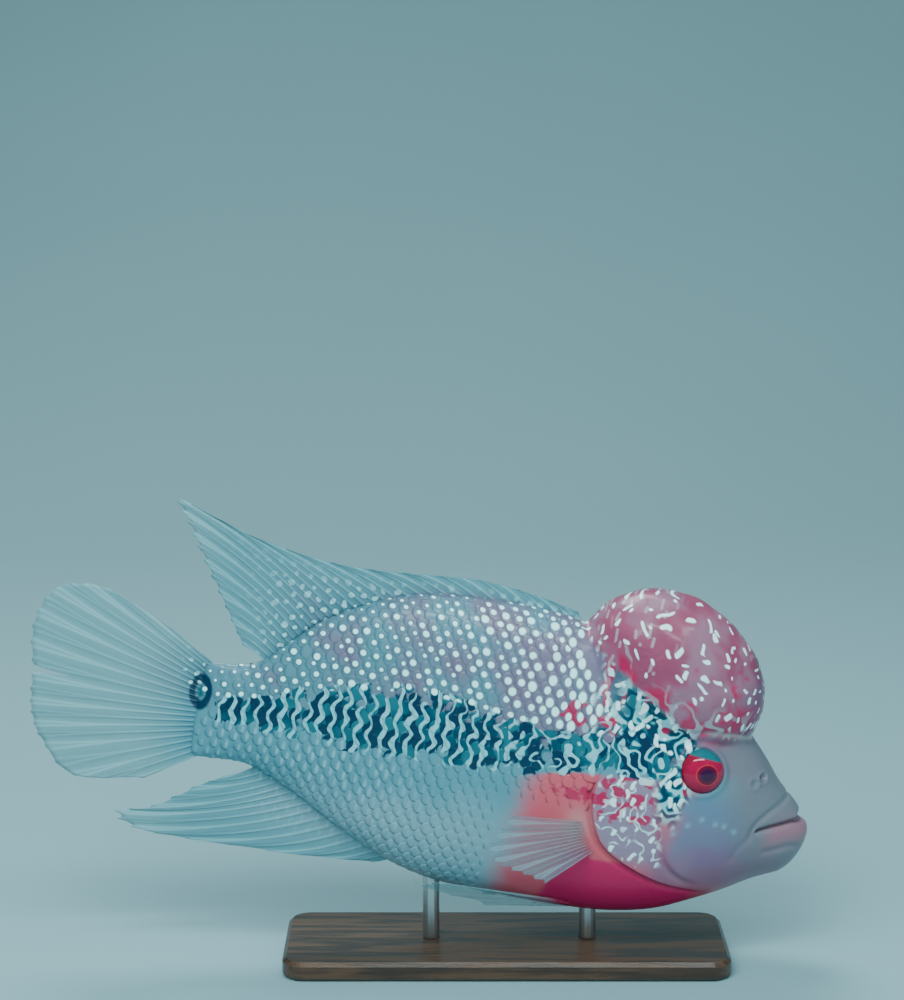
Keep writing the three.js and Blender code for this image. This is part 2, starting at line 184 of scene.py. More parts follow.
class Shop:
    def __init__(self, name):
        self.material = bpy.data.materials.new(name)
        self.material.use_nodes = True
        self.tree = self.material.node_tree
        self.tree.nodes.clear()

    def node(self, kind, settings=None, values=None, output=0):
        made = self.tree.nodes.new(kind)
        for key, value in (settings or {}).items():
            setattr(made, key, value)
        for key, value in (values or {}).items():
            if isinstance(value, Wire):
                self.tree.links.new(value.socket, made.inputs[key])
            else:
                made.inputs[key].default_value = value
        return Wire(self, made.outputs[output]) if made.outputs else None

    def objectPlace(self):
        return self.node("ShaderNodeTexCoord", output="Object")

    def attribute(self, name):
        return self.node("ShaderNodeAttribute", {"attribute_name": name}, output="Vector")

    def split(self, vector):
        made = self.node("ShaderNodeSeparateXYZ", None, {0: vector})
        return [made.other(i) for i in range(3)]

    def parts(self, name):
        return self.split(self.attribute(name))

    def join(self, x, y):
        return self.node("ShaderNodeCombineXYZ", None, {0: x, 1: y})

    def stretch(self, vector, x, y, z):
        return self.node("ShaderNodeVectorMath", {"operation": "MULTIPLY"}, {0: vector, 1: (x, y, z)})

    def noise(self, vector, scale, detail, rough, output="Fac"):
        return self.node("ShaderNodeTexNoise", {"noise_dimensions": "3D"},
                         {"Vector": vector, "Scale": scale, "Detail": detail, "Roughness": rough}, output)

    def warp(self, vector, guide, scale, amount):
        # Pushes the vector about by a noise read at the guide's place
        push = self.noise(guide, scale, 1, 0.5, "Color")
        return self.node("ShaderNodeVectorMath", {"operation": "MULTIPLY_ADD"},
                         {0: push, 1: (amount, amount, amount), 2: vector})

    def cells(self, vector, scale):
        return self.node("ShaderNodeTexVoronoi", {"voronoi_dimensions": "3D", "feature": "F1"},
                         {"Vector": vector, "Scale": scale, "Randomness": 1.0}, "Distance")

    def spots(self, flat, along, across, random):
        # Staggered rows of sites: the offset from the nearest one in millimetres, and its own chances
        u, v = self.split(flat)[:2]
        place = self.join(u * (1 / along) + v * (1 / across), u * (1 / along) - v * (1 / across))
        site = self.node("ShaderNodeTexVoronoi", {"voronoi_dimensions": "2D", "feature": "F1"},
                         {"Vector": place, "Scale": 1.0, "Randomness": random}, "Position")
        chance = self.split(site.other("Color"))
        p, q = [here - there for here, there in zip(self.split(place)[:2], self.split(site)[:2])]
        return (p + q) * (along / 2), (p - q) * (across / 2), chance

    def dot(self, offset, half, edge):
        # 1 inside an oval of these half sizes
        far = ((offset[0] / half[0]) ** 2.0 + (offset[1] / half[1]) ** 2.0).math("SQRT")
        return self.step(far, 1 + edge, 1 - edge)

    def strokes(self, flat, spacing, half, lean, spread, bare, edge):
        # Short marks with round ends at any slope, one to a site; bare is the share of sites without one
        x, y, chance = self.spots(flat, spacing, spacing, strokeMake["random"])
        angle = (chance[0] - 0.5) * spread + lean
        c, s = angle.math("COSINE"), angle.math("SINE")
        long = chance[1] * (half[0] * strokeMake["vary"]) - half[0] * strokeMake["shorter"]
        beyond = ((x * c + y * s).math("ABSOLUTE") - long).math("MAXIMUM", 0.0)
        far = (beyond ** 2.0 + (y * c - x * s) ** 2.0).math("SQRT")
        mark = self.step(far, half[1] * (1 + edge), half[1] * (1 - edge))
        return mark * self.step(chance[2], bare, bare + strokeMake["cut"])

    def maze(self, flat, scale, turns):
        # Winding lines of about even width, -1 to 1: the level lines of a slow noise
        return (self.noise(flat, scale, 1, 0.4) * (turns * 2 * math.pi)).math("SINE")

    def step(self, value, low, high, to=(0.0, 1.0)):
        return self.node("ShaderNodeMapRange", {"interpolation_type": "SMOOTHSTEP"},
                         {"Value": value, "From Min": low, "From Max": high,
                          "To Min": to[0], "To Max": to[1]})

    def mix(self, factor, a, b):
        return self.node("ShaderNodeMix", {"data_type": "RGBA", "blend_type": "MIX"},
                         {0: factor, 6: a, 7: b}, 2)

    def paint(self, colour, *layers):
        # Lays each tone over the colour by its share, in this order; a tone is a name, a value or a wire
        for share, tone in layers:
            colour = self.mix(share, colour, tones[tone] if isinstance(tone, str) else tone)
        return colour

    def most(self, a, b):
        return a.math("MAXIMUM", b)

    def relief(self, height, distance, strength):
        return self.node("ShaderNodeBump", None,
                         {"Height": height, "Distance": distance, "Strength": strength})

    def surface(self, values):
        shader = self.node("ShaderNodeBsdfPrincipled", None, values)
        self.node("ShaderNodeOutputMaterial", None, {"Surface": shader})
        return self.material


def shadeSmooth(mesh):
    mesh.polygons.foreach_set("use_smooth", [True] * len(mesh.polygons))


def finishMesh(bm, name):
    mesh = bpy.data.meshes.new(name)
    bm.to_mesh(mesh)
    bm.free()
    shadeSmooth(mesh)
    return addObject(name, mesh)


def applyModifiers(piece):
    graph = bpy.context.evaluated_depsgraph_get()
    mesh = bpy.data.meshes.new_from_object(piece.evaluated_get(graph))
    piece.modifiers.clear()
    former = piece.data
    piece.data = mesh
    bpy.data.meshes.remove(former)
    mesh.name = piece.name


def readVectors(items, name, count):
    flat = np.empty(count * 3, np.float32)
    items.foreach_get(name, flat)
    return flat.reshape(-1, 3).astype(float)


def coords(mesh):
    return readVectors(mesh.vertices, "co", len(mesh.vertices))


def setCoords(mesh, points):
    mesh.vertices.foreach_set("co", np.asarray(points, np.float32).ravel())
    mesh.update()


def addVectors(mesh, name, values):
    layer = mesh.attributes.new(name, "FLOAT_VECTOR", "POINT")
    layer.data.foreach_set("vector", np.asarray(values, np.float32).ravel())


# Body profiles by x: back with the skull line under the hump, belly, half width, widest height
bodyLine = dict(start=-3.0, end=218.3, backRound=1.86, bellyRound=2.2)


class Profile:
    def __init__(self, points):
        points = np.array(points, float)
        self.steps, self.values = self.toStep(points[:, 0]), points[:, 1]
        rise = np.empty(len(points))
        rise[1:-1] = (self.values[2:] - self.values[:-2]) / (self.steps[2:] - self.steps[:-2])
        rise[0] = (self.values[1] - self.values[0]) / (self.steps[1] - self.steps[0])
        rise[-1] = (self.values[-1] - self.values[-2]) / (self.steps[-1] - self.steps[-2])
        self.slopes = rise

    def toStep(self, x):
        share = (np.asarray(x, float) - bodyLine["start"]) / (bodyLine["end"] - bodyLine["start"])
        return np.arcsin(np.clip(share, 0, 1))

    def __call__(self, x):
        s = self.toStep(x)
        i = np.clip(np.searchsorted(self.steps, s, side="left") - 1, 0, len(self.steps) - 2)
        width = self.steps[i + 1] - self.steps[i]
        t = (s - self.steps[i]) / width
        low = ((2 * t ** 3 - 3 * t ** 2 + 1) * self.values[i]
               + (t ** 3 - 2 * t ** 2 + t) * width * self.slopes[i])
        high = ((-2 * t ** 3 + 3 * t ** 2) * self.values[i + 1]
                + (t ** 3 - t ** 2) * width * self.slopes[i + 1])
        return low + high


back = Profile([
    (-3, 17.2), (9, 18.0), (17, 21.0), (25, 29.0), (34, 38.0), (47, 46.6), (61, 53.0), (75, 56.3),
    (98, 58.0), (118, 57.2), (135, 53.6), (152, 47.5), (172, 38.0), (184, 31.4), (191.6, 26.6),
    (198.9, 19.2), (204.5, 12.6), (209.5, 8.2), (213.5, 4.4), (216.4, 0.8), (218.3, -4)])
belly = Profile([
    (-3, -18.6), (8, -17.2), (15.6, -16.9), (23, -18.4), (38.7, -25.2), (50.7, -31.8),
    (62.7, -37.6), (75.3, -42.8), (90, -46.0), (110, -47.0), (135, -46.8), (152, -45.7),
    (169, -41.8), (181, -36.2), (191.2, -30.8), (200, -25.2), (206, -22.2), (210.5, -20.2),
    (214, -16.8), (216.7, -11.8), (218.3, -4)])
halfWidth = Profile([
    (-3, 1.4), (3, 3.6), (12, 6.2), (25, 9.2), (45, 13.2), (65, 17.0), (85, 20.0), (110, 22.6),
    (135, 24.2), (150, 24.6), (165, 24.2), (178, 22.2), (190, 18.8), (200, 15.2), (207, 12.2),
    (212, 9.4), (215.5, 6.6), (218.3, 0)])
widest = Profile([
    (-3, -0.5), (30, 3), (60, 4), (100, 2), (150, 1), (180, -1), (200, -5), (218.3, -4)])


def bodyAt(x, angle, margin=0.0):
    # angle 0 is the back, pi the belly; positive angles lie on the fish's left
    up, out = np.cos(angle), np.sin(angle)
    power = np.where(up > 0, 2 / bodyLine["backRound"], 2 / bodyLine["bellyRound"])
    middle = widest(x)
    reach = np.where(up > 0, back(x) - middle, middle - belly(x)) + margin
    y = (halfWidth(x) + margin) * np.sign(out) * np.abs(out) ** power
    z = middle + reach * np.sign(up) * np.abs(up) ** power
    return np.stack([x, y, z], 1)


class Girth:
    # Arc length round the body from its widest line, up positive, looked up both ways
    def __init__(self, stations=220, turns=240):
        self.x = np.linspace(bodyLine["start"], bodyLine["end"] - 0.5, stations)
        self.angle = np.linspace(0, math.pi, turns)
        grid = np.meshgrid(self.x, self.angle, indexing="ij")
        points = bodyAt(grid[0].ravel(), grid[1].ravel()).reshape(stations, turns, 3)
        steps = np.linalg.norm(np.diff(points, axis=1), axis=2)
        arc = np.concatenate([np.zeros((stations, 1)), np.cumsum(steps, axis=1)], axis=1)
        middle = turns // 2
        self.arc = arc[:, middle:middle + 1] - arc

    def rows(self, x):
        place = (np.clip(x, self.x[0], self.x[-1]) - self.x[0]) / (self.x[1] - self.x[0])
        low = np.clip(place.astype(int), 0, len(self.x) - 2)
        return low, (place - low)

    def arcAt(self, x, angle):
        low, part = self.rows(np.asarray(x, float))
        place = np.clip(np.abs(angle), 0, math.pi) / (self.angle[1] - self.angle[0])
        col = np.clip(place.astype(int), 0, len(self.angle) - 2)
        side = place - col
        near = self.arc[low, col] * (1 - side) + self.arc[low, col + 1] * side
        far = self.arc[low + 1, col] * (1 - side) + self.arc[low + 1, col + 1] * side
        return near * (1 - part) + far * part

    def angleAt(self, x, arc):
        low, part = self.rows(np.asarray(x, float))
        rows = self.arc[low] * (1 - part[:, None]) + self.arc[low + 1] * part[:, None]
        under = (rows > arc[:, None]).sum(1)
        col = np.clip(under - 1, 0, len(self.angle) - 2)
        each = np.arange(len(arc))
        top, bottom = rows[each, col], rows[each, col + 1]
        side = np.clip((top - arc) / np.maximum(top - bottom, 1e-6), 0, 1)
        return self.angle[col] + side * (self.angle[1] - self.angle[0])


girth = Girth()


def angleOf(points):
    x, y, z = points.T
    middle = widest(x)
    up = z > middle
    reach = np.maximum(np.where(up, back(x) - middle, middle - belly(x)), 0.3)
    power = np.where(up, bodyLine["backRound"], bodyLine["bellyRound"]) / 2
    high = np.sign(z - middle) * (np.abs(z - middle) / reach) ** power
    out = (np.abs(y) / np.maximum(halfWidth(x), 0.3)) ** power
    return np.arctan2(out, high)


lineSteps = 40


def alongLine(points, share):
    # The smooth curve through the points, at shares of the way counted from point to point
    points = np.array(points, float)
    full = np.vstack([2 * points[0] - points[1], points, 2 * points[-1] - points[-2]])
    s = np.clip(share, 0, 1) * (len(points) - 1)
    i = np.clip(s.astype(int), 0, len(points) - 2)
    t = (s - i)[:, None]
    p0, p1, p2, p3 = full[i], full[i + 1], full[i + 2], full[i + 3]
    return 0.5 * (2 * p1 + (p2 - p0) * t + (2 * p0 - 5 * p1 + 4 * p2 - p3) * t ** 2
                  + (3 * p1 - p0 - 3 * p2 + p3) * t ** 3)


def smoothLine(*points):
    return alongLine(points, np.linspace(0, 1, lineSteps))


def lineDistance(points, line):
    # Distance to a line in the side view, its side (positive ahead of it) and the place along it
    x, z = points[:, 0], points[:, 2]
    best = np.full(len(x), 1e9)
    side = np.zeros(len(x))
    where = np.zeros(len(x))
    for i in range(len(line) - 1):
        a, b = line[i], line[i + 1]
        d = b - a
        t = np.clip(((x - a[0]) * d[0] + (z - a[1]) * d[1]) / (d @ d), 0, 1)
        gx, gz = x - a[0] - t * d[0], z - a[1] - t * d[1]
        dist = np.hypot(gx, gz)
        closer = dist < best
        best = np.where(closer, dist, best)
        side = np.where(closer, np.sign(gz * d[0] - gx * d[1]), side)
        where = np.where(closer, (i + t) / (len(line) - 1), where)
    return best, side, where


def fadeEnds(where, rise, fall, end=1.0):
    # 1 along a line but for its two ends
    return soft(where, 0, rise) * (1 - soft(where, fall, end))


# Hump, eyes, mouth and lips
hump = dict(centre=(159.6, 42.6), long=35.2, wide=23.2, high=28.0, lean=math.radians(27.7), lumps=0.28)
humpCos, humpSin = math.cos(hump["lean"]), math.sin(hump["lean"])
eye = dict(x=173.8, y=18.7, z=15.4, long=8.0, out=5.6, high=7.9, up=0.2, forward=0.2)
socket = dict(stretch=1.02, rim=8.6, rimWide=1.2, rimHigh=1.0, shade=0.25, span=8, deep=6.0, edge=(6.7, 7.7),
              behind=-6, off=5, near=8.4)
mouth = dict(cornerX=197.6, cornerY=13.4, cornerZ=-3.6, frontX=211.4, frontZ=0.9)
upperLip = dict(radius=2.3, rise=2.1, push=0.2)
lowerLip = dict(radius=2.6, rise=-2.5, push=3.6)
slit = dict(rear=-0.8, full=1.2, deep=2.0, wide=0.62, softDeep=0.5, softWide=1.5)

# Lines and pits in the side view of the head: a ledge stands proud ahead of its line, with a groove behind
gillEdge = smoothLine((148.5, 21.5), (143, 16.5), (139.4, 10), (138.1, 3), (139.1, -5), (142.6, -13),
                      (147.6, -18), (156, -22.4), (165.5, -25.8), (176, -27.8), (186, -29.6))
gillEnds = dict(topX=148.5, topZ=21, lowX=186, lowZ=-29.6)
preopercle = smoothLine((160, 12), (159.3, 6), (161.5, -3), (164.2, -11), (167.8, -17.8), (174, -22.6),
                        (183, -25.4))
ledges = [
    dict(line=gillEdge, rise=1.15, slope=(-0.35, 0.45), run=10, deep=0.9, behind=1.1, wide=1.0,
         ends=(0.12, 0.86)),
    dict(line=preopercle, rise=0.55, slope=(-0.8, 0.8), run=9, deep=0.35, behind=1.2, wide=1.0,
         ends=(0.2, 0.75))]
lipFold = smoothLine((210, 10), (206.4, 7.2), (201, 3.2), (197.1, -0.9), (195.8, -5), (196.4, -8.5))
chinFold = smoothLine((216.5, -8.5), (211, -8.2), (205, -10), (200, -11.5))
jawFold = smoothLine((195.4, -6), (192, -11), (190.5, -17))
browFold = smoothLine((192, 26.6), (185, 28.2), (178, 28.9), (170.5, 28.6), (163, 26))
folds = [
    dict(line=lipFold, deep=0.8, wide=0.9, ends=(0.15, 0.8)),
    dict(line=chinFold, deep=0.5, wide=1.0, ends=(0.15, 0.8)),
    dict(line=jawFold, deep=0.3, wide=1.2, ends=(0.15, 0.8)),
    dict(line=browFold, deep=0.45, wide=0.9, ends=(0.2, 0.7))]
nostril = dict(rim=0.35, rimAt=1.9, rimWide=0.6, deep=1.5, wide=1.0, off=4)
rearNostril = dict(nostril, deep=0.45)
pore = dict(rim=0.18, rimAt=0.9, rimWide=0.4, deep=0.4, wide=0.5, off=6)
nostrilPlaces = [(197.0, 14.6), (194.0, 12.8)]
porePlaces = [(168, -7), (172.5, -3.4), (177.1, -0.7), (182.3, -1.8), (185.5, -2.2), (189.5, -4)]


def humpReach(points):
    # 0 in the middle of the hump, 1 on its surface
    x, y, z = points.T
    dx, dz = x - hump["centre"][0], z - hump["centre"][1]
    u, v = dx * humpCos - dz * humpSin, dx * humpSin + dz * humpCos
    return np.sqrt((u / hump["long"]) ** 2 + (y / hump["wide"]) ** 2 + (v / hump["high"]) ** 2)


# Skin: body, hump and lips joined into one surface, then the fine forms pressed into it
skinMake = dict(voxel=0.8, quickVoxel=1.6, smoothing=3, finer=(2.2, 1.2), quickFiner=(2.0,))
ballMake = dict(body=(130, 96), hump=(60, 72), lip=(60, 24), cap=0.012)


def ballVerts(bm, size):
    stations, turns = size
    made = bmesh.ops.create_uvsphere(bm, u_segments=turns, v_segments=stations, radius=1)["verts"]
    points = np.array([v.co for v in made])
    share = 1 - np.arccos(np.clip(points[:, 2], -1, 1)) / math.pi
    return made, points, share, np.arctan2(points[:, 1], points[:, 0])


def putVerts(verts, points):
    for vert, point in zip(verts, points):
        vert.co = point


def bodyBall(bm):
    verts, _, share, angle = ballVerts(bm, ballMake["body"])
    cap = ballMake["cap"]
    s = np.clip((share - cap) / (1 - cap), 0, 1)
    x = bodyLine["start"] + (bodyLine["end"] - bodyLine["start"]) * np.sin(s * math.pi / 2)
    points = bodyAt(x, angle)
    closing = np.clip(share / cap, 0, 1)[:, None]
    middle = np.stack([x, 0 * x, widest(x)], 1)
    putVerts(verts, toWorld(middle + (points - middle) * closing))


def humpBall(bm):
    verts, ball, _, _ = ballVerts(bm, ballMake["hump"])
    u, y, v = ball[:, 0] * hump["long"], ball[:, 1] * hump["wide"], ball[:, 2] * hump["high"]
    x = hump["centre"][0] + u * humpCos + v * humpSin
    z = hump["centre"][1] - u * humpSin + v * humpCos
    putVerts(verts, toWorld(np.stack([x, y, z], 1)))


def lipBall(bm, lip):
    # thinner towards the corners of the mouth
    verts, _, share, angle = ballVerts(bm, ballMake["lip"])
    turn = (share - 0.5) * math.pi
    forward = np.cos(turn)
    reach = mouth["frontX"] - mouth["cornerX"] + lip["push"] - lip["radius"]
    x = mouth["cornerX"] + reach * forward
    y = (mouth["cornerY"] - lip["radius"] * 0.6) * np.sin(turn)
    z = (mouth["cornerZ"] + (mouth["frontZ"] - mouth["cornerZ"]) * forward
         + lip["rise"] * (0.55 + 0.45 * forward))
    radius = lip["radius"] * (0.55 + 0.45 * np.sqrt(forward + 1e-6)) * np.clip(forward * 6, 0, 1) ** 0.5
    out = radius * np.cos(angle)
    points = np.stack([x + np.cos(turn) * out, y + np.sin(turn) * out, z + radius * np.sin(angle)], 1)
    putVerts(verts, toWorld(points))


def eyeFrame(side):
    # Columns: along the eye, out of it, up; the same turns as the solid's
    tilt = Matrix.Rotation(-side * eye["forward"], 3, "Z") @ Matrix.Rotation(side * eye["up"], 3, "X")
    return np.array(tilt), np.array([eye["x"], side * eye["y"], eye["z"]])


def eyeLocal(points, side):
    axes, centre = eyeFrame(side)
    local = (points - centre) @ axes
    local[:, 1] *= side
    return local


def mouthLine(x):
    run = np.clip((x - mouth["cornerX"]) / (mouth["frontX"] - mouth["cornerX"]), -1, 1)
    return mouth["cornerZ"] + (mouth["frontZ"] - mouth["cornerZ"]) * np.sign(run) * np.abs(run) ** 0.8


def jawNotch(points):
    # The upper jaw ends behind the lower one, so the mouth shows as a notch from the side
    x, y, z = points.T
    rise = z - mouth["frontZ"]
    limit = mouth["frontX"] - 0.3 + 2.7 * np.clip(rise / 4.2, 0, 1) ** 0.7
    over = np.maximum(x - limit, 0) * soft(rise, -0.5, 0.2) * (1 - soft(rise, 4.0, 5.6))
    moved = points.copy()
    moved[:, 0] -= over
    return moved


def ledge(points, form):
    distance, side, where = lineDistance(points, form["line"])
    ahead = side * distance
    proud = form["rise"] * soft(ahead, *form["slope"]) * bump(np.maximum(ahead, 0), form["run"])
    groove = form["deep"] * bump(ahead + form["behind"], form["wide"])
    return fadeEnds(where, *form["ends"]) * (proud - groove)


def fold(points, form):
    distance, _, where = lineDistance(points, form["line"])
    return -form["deep"] * bump(distance, form["wide"]) * fadeEnds(where, *form["ends"])


def pit(points, centre, form):
    # A small hole with a raised rim, on both sides of the head
    x, y, z = points.T
    far = np.hypot(x - centre[0], z - centre[1])
    rim = form["rim"] * bump(far - form["rimAt"], form["rimWide"])
    return (np.abs(y) > form["off"]) * (rim - form["deep"] * bump(far, form["wide"]))


def skinForms(points):
    # Heights in millimetres, along the normal
    x, y, z = points.T
    height = sum(ledge(points, form) for form in ledges) + sum(fold(points, form) for form in folds)
    height += pit(points, nostrilPlaces[0], nostril) + pit(points, nostrilPlaces[1], rearNostril)
    height += sum(pit(points, centre, pore) for centre in porePlaces)
    inMouth = soft(x, mouth["cornerX"] + slit["rear"], mouth["cornerX"] + slit["full"])
    off = z - mouthLine(x)
    groove = slit["deep"] * bump(off, slit["wide"]) + slit["softDeep"] * bump(off, slit["softWide"])
    height -= inMouth * groove
    # the hump's soft lumps, on its own surface only
    onHump = np.clip(1 - np.abs(humpReach(points) - 1) * 12, 0, 1)
    lumps = np.sin(x * 0.37 + 1.3 * np.sin(z * 0.21)) * np.sin(z * 0.33 + y * 0.24)
    return height + onHump * hump["lumps"] * (lumps + 0.6 * np.sin(y * 0.5 + x * 0.2))


def eyeCrater(points):
    # Orbital rim round the eye, higher above it than below, and the socket inside it
    moved = points.copy()
    for side in (-1, 1):
        local = eyeLocal(points, side)
        near = (local[:, 1] > socket["behind"]) & (points[:, 1] * side > socket["off"])
        ring = np.hypot(local[:, 0] / socket["stretch"], local[:, 2])
        above = np.clip(local[:, 2] / socket["span"], -1, 1)
        rim = near * socket["rimHigh"] * bump(ring - socket["rim"], socket["rimWide"])
        rim = rim * (1 - socket["shade"] + socket["shade"] * above)
        depth = near * socket["deep"] * (1 - soft(ring, *socket["edge"]))
        axes, centre = eyeFrame(side)
        moved += (rim - depth)[:, None] * axes[:, 1] * side
    return moved


def nearForms(points, reach):
    # Where the skin needs finer faces: the gill opening, the mouth, the nostrils and the eyes' rims
    x, y, z = points.T
    near = lineDistance(points, gillEdge)[0] < reach
    near |= (np.abs(z - mouthLine(x)) < reach) & (x > mouth["cornerX"] - 1.5)
    nostrilX, nostrilZ = nostrilPlaces[0]
    near |= (np.hypot(x - nostrilX, z - nostrilZ) < reach + 1) & (np.abs(y) > nostril["off"])
    for side in (-1, 1):
        local = eyeLocal(points, side)
        ring = np.hypot(local[:, 0], local[:, 2])
        near |= (np.abs(ring - socket["near"]) < reach) & (points[:, 1] * side > socket["off"])
    return near


def joinSkin():
    bm = bmesh.new()
    bodyBall(bm)
    humpBall(bm)
    lipBall(bm, upperLip)
    lipBall(bm, lowerLip)
    bmesh.ops.recalc_face_normals(bm, faces=bm.faces)
    skin = finishMesh(bm, "fish_skin")
    remesh = skin.modifiers.new("join", "REMESH")
    remesh.mode = "VOXEL"
    remesh.voxel_size = (skinMake["voxel"] if fine else skinMake["quickVoxel"]) * mm
    applyModifiers(skin)
    print("skin joined", len(skin.data.polygons))
    return skin


def makeSkin():
    skin = joinSkin()
    mesh = skin.data
    bm = bmesh.new()
    bm.from_mesh(mesh)
    for _ in range(skinMake["smoothing"]):
        bmesh.ops.smooth_vert(bm, verts=bm.verts, factor=0.5, use_axis_x=True, use_axis_y=True,
                              use_axis_z=True)
    for reach in skinMake["finer"] if fine else skinMake["quickFiner"]:
        near = nearForms(toFish(np.array([v.co for v in bm.verts])), reach)
        edges = [e for e in bm.edges if near[e.verts[0].index] and near[e.verts[1].index]]
        bmesh.ops.subdivide_edges(bm, edges=edges, cuts=1, use_grid_fill=True)
        bm.verts.index_update()
    bm.to_mesh(mesh)
    bm.free()
    base = toFish(coords(mesh))
    normals = unturned(*readVectors(mesh.vertices, "normal", len(mesh.vertices)).T)
    points = base + normals * skinForms(base)[:, None]
    setCoords(mesh, toWorld(eyeCrater(jawNotch(points))))
    shadeSmooth(mesh)
    addPlaces(mesh, base, scaled=True)
    print("skin formed", len(mesh.polygons))
    return skin


# Large fields of the markings where a point lies on the fish: 0 to 1, but for band and ocellus
bandMid = [(-12, 2), (5, 2), (20, 4), (30, 7), (50, 10), (70, 12.5), (90, 13.5), (110, 13), (130, 15.2),
           (150, 18), (165, 15)]
bandHalf = [(5, 4), (20, 5.5), (30, 7.5), (50, 10), (70, 11.5), (90, 10.5), (110, 9), (130, 6.8),
            (150, 7.5), (165, 4.5)]
# The hump's lower edge, along which a pale painted highlight runs
creaseHighlightLine = smoothLine((193, 26.4), (185, 28.4), (178, 29.2), (170, 29))
plateLine = dict(napeLean=0.55, breastX=152)

# Where a field fades, from none to full: Edge counts in half widths of the band, the rest in millimetres
fade = dict(
    kokLow=(-6.0, 5.0), darkEdge=(0.5, 1.4), darkFront=(160, 167), darkTail=(2, 7), pearlEdge=(0.85, 1.15),
    pearlFront=(138, 152), pearlTail=(-16, -2), dashEdge=(-1.15, -0.85), dashFront=(50, 92), dashTail=(-4, 6),
    salmonTail=(104, 126), salmonEdge=(-1.2, -0.9), salmonCover=(18, 36), redTail=(124, 132),
    redTop=(-24, -20), redCover=(-0.2, 1.2), redFront=(172, 190), coverRear=(-1.0, 2.0),
    coverFront=(156, 163), coverLow=(-26, -16), coverEdge=(-1.1, -0.8), wormTail=(126, 142),
    wormEdge=(0.6, 1.0), wormFront=(164, 176), cheekRear=(160, 172), cheekFront=(188, 203), cheekTop=(4, 12),
    cheekLow=(-34, -18), snoutRear=(178, 196), lipsRear=(198, 206), plateFront=(-3.5, -2))
fieldSets = dict(fieldsA=("dark", "pearl", "dash"), fieldsB=("salmon", "red", "cover"),
                 fieldsC=("worm", "cheek", "snout"), fieldsD=("kok", "band", "lips"),
                 fieldsE=("blotch", "ocellus", "pores"), fieldsF=("rosy", "crease", "pale"))


def past(name, value):
    return soft(value, *fade[name])


def before(name, value):
    return 1 - soft(value, *fade[name])


def between(x, points):
    return np.interp(x, [p[0] for p in points], [p[1] for p in points])


def oval(x, z, centre, half):
    return bump(np.hypot((x - centre[0]) / half[0], (z - centre[1]) / half[1]), 1.0)


def aheadOfGill(points, napeLean=0.0, breastX=gillEnds["lowX"]):
    # How far a point lies ahead of the gill opening, whose line runs on over the nape and the breast
    x, y, z = points.T
    distance, side, _ = lineDistance(points, gillEdge)
    nape = x - gillEnds["topX"] + napeLean * np.maximum(z - gillEnds["topZ"], 0)
    lower = np.where(z < gillEnds["lowZ"], x - breastX, side * distance)
    return np.where(z > gillEnds["topZ"], nape, lower)


def fields(points):
    # A part of z or x added to the other leans a field's edge
    x, y, z = points.T
    ahead = aheadOfGill(points)
    humpFoot = 28.3 + 0.6 * np.maximum(168 - x, 0)
    kok = (humpReach(points) < 1.08) * past("kokLow", z - humpFoot)
    band = (z - between(x, bandMid)) / between(x, bandHalf)
    redTop = z - 0.33 * np.maximum(x - 128, 0) * (x < 141)
    worm = past("wormTail", x) * past("wormEdge", band) * before("wormFront", x + 0.5 * (z - 25))
    distance, _, where = lineDistance(points, preopercle)
    rosy = bump(distance + 0.5, 1.6) * fadeEnds(where, 0.15, 0.6, 0.85)
    distance, _, where = lineDistance(points, creaseHighlightLine)
    return dict(
        kok=kok,
        band=band,
        dark=before("darkEdge", np.abs(band)) * before("darkFront", x) * past("darkTail", x),
        pearl=past("pearlEdge", band) * before("pearlFront", x) * (1 - kok) * past("pearlTail", x),
        dash=before("dashEdge", band) * before("dashFront", x + 0.4 * z) * past("dashTail", x),
        salmon=past("salmonTail", x - 0.1 * z) * before("salmonEdge", band) * before("salmonCover", ahead),
        red=(past("redTail", x - 0.25 * (z + 40)) * before("redTop", redTop) * before("redCover", ahead)
             * before("redFront", x)),
        cover=(past("coverRear", ahead) * before("coverFront", x - 0.25 * (10 - z)) * past("coverLow", z)
               * before("coverEdge", band)),
        worm=np.maximum(worm, 0.9 * oval(x, z, (165, 8), (7, 13))),
        cheek=(past("cheekRear", x - 0.2 * (z + 10)) * before("cheekFront", x + 0.5 * z)
               * before("cheekTop", z) * past("cheekLow", z)),
        snout=past("snoutRear", x + 0.35 * z),
        lips=bump(z - mouthLine(x) + 3.2, 4.6) * past("lipsRear", x),
        blotch=np.maximum(oval(x, z, (127, 28), (12, 7)), oval(x, z, (133, 1), (17, 6))),
        ocellus=np.hypot((x + 2.5) / 4.2, (z - 6) / 6.8),
        pores=np.max([bump(np.hypot(x - px, z - pz), 0.9) for px, pz in porePlaces], axis=0),
        rosy=np.maximum(rosy, oval(x, z, (177, 25.6), (7, 1.8))),
        # a pale painted highlight along the hump's lower edge
        crease=bump(distance, 0.8) * fadeEnds(where, 0.1, 0.75),
        pale=oval(x, z, (134.5, -11), (4.5, 6)) * (np.abs(y) > 12))


def domePlace(points):
    # Equal-area picture of the hump from its side, so that its marks keep their size all over it
    x, y, z = points.T
    dx, dz = (x - hump["centre"][0]) / hump["long"], (z - hump["centre"][1]) / hump["high"]
    dy = np.abs(y) / hump["wide"]
    length = np.maximum(np.sqrt(dx * dx + dy * dy + dz * dz), 0.01)
    out = np.sqrt(2 / (1 + dy / length)) / length
    return np.stack([dx * out * hump["long"], dz * out * hump["high"], 0 * x], 1)


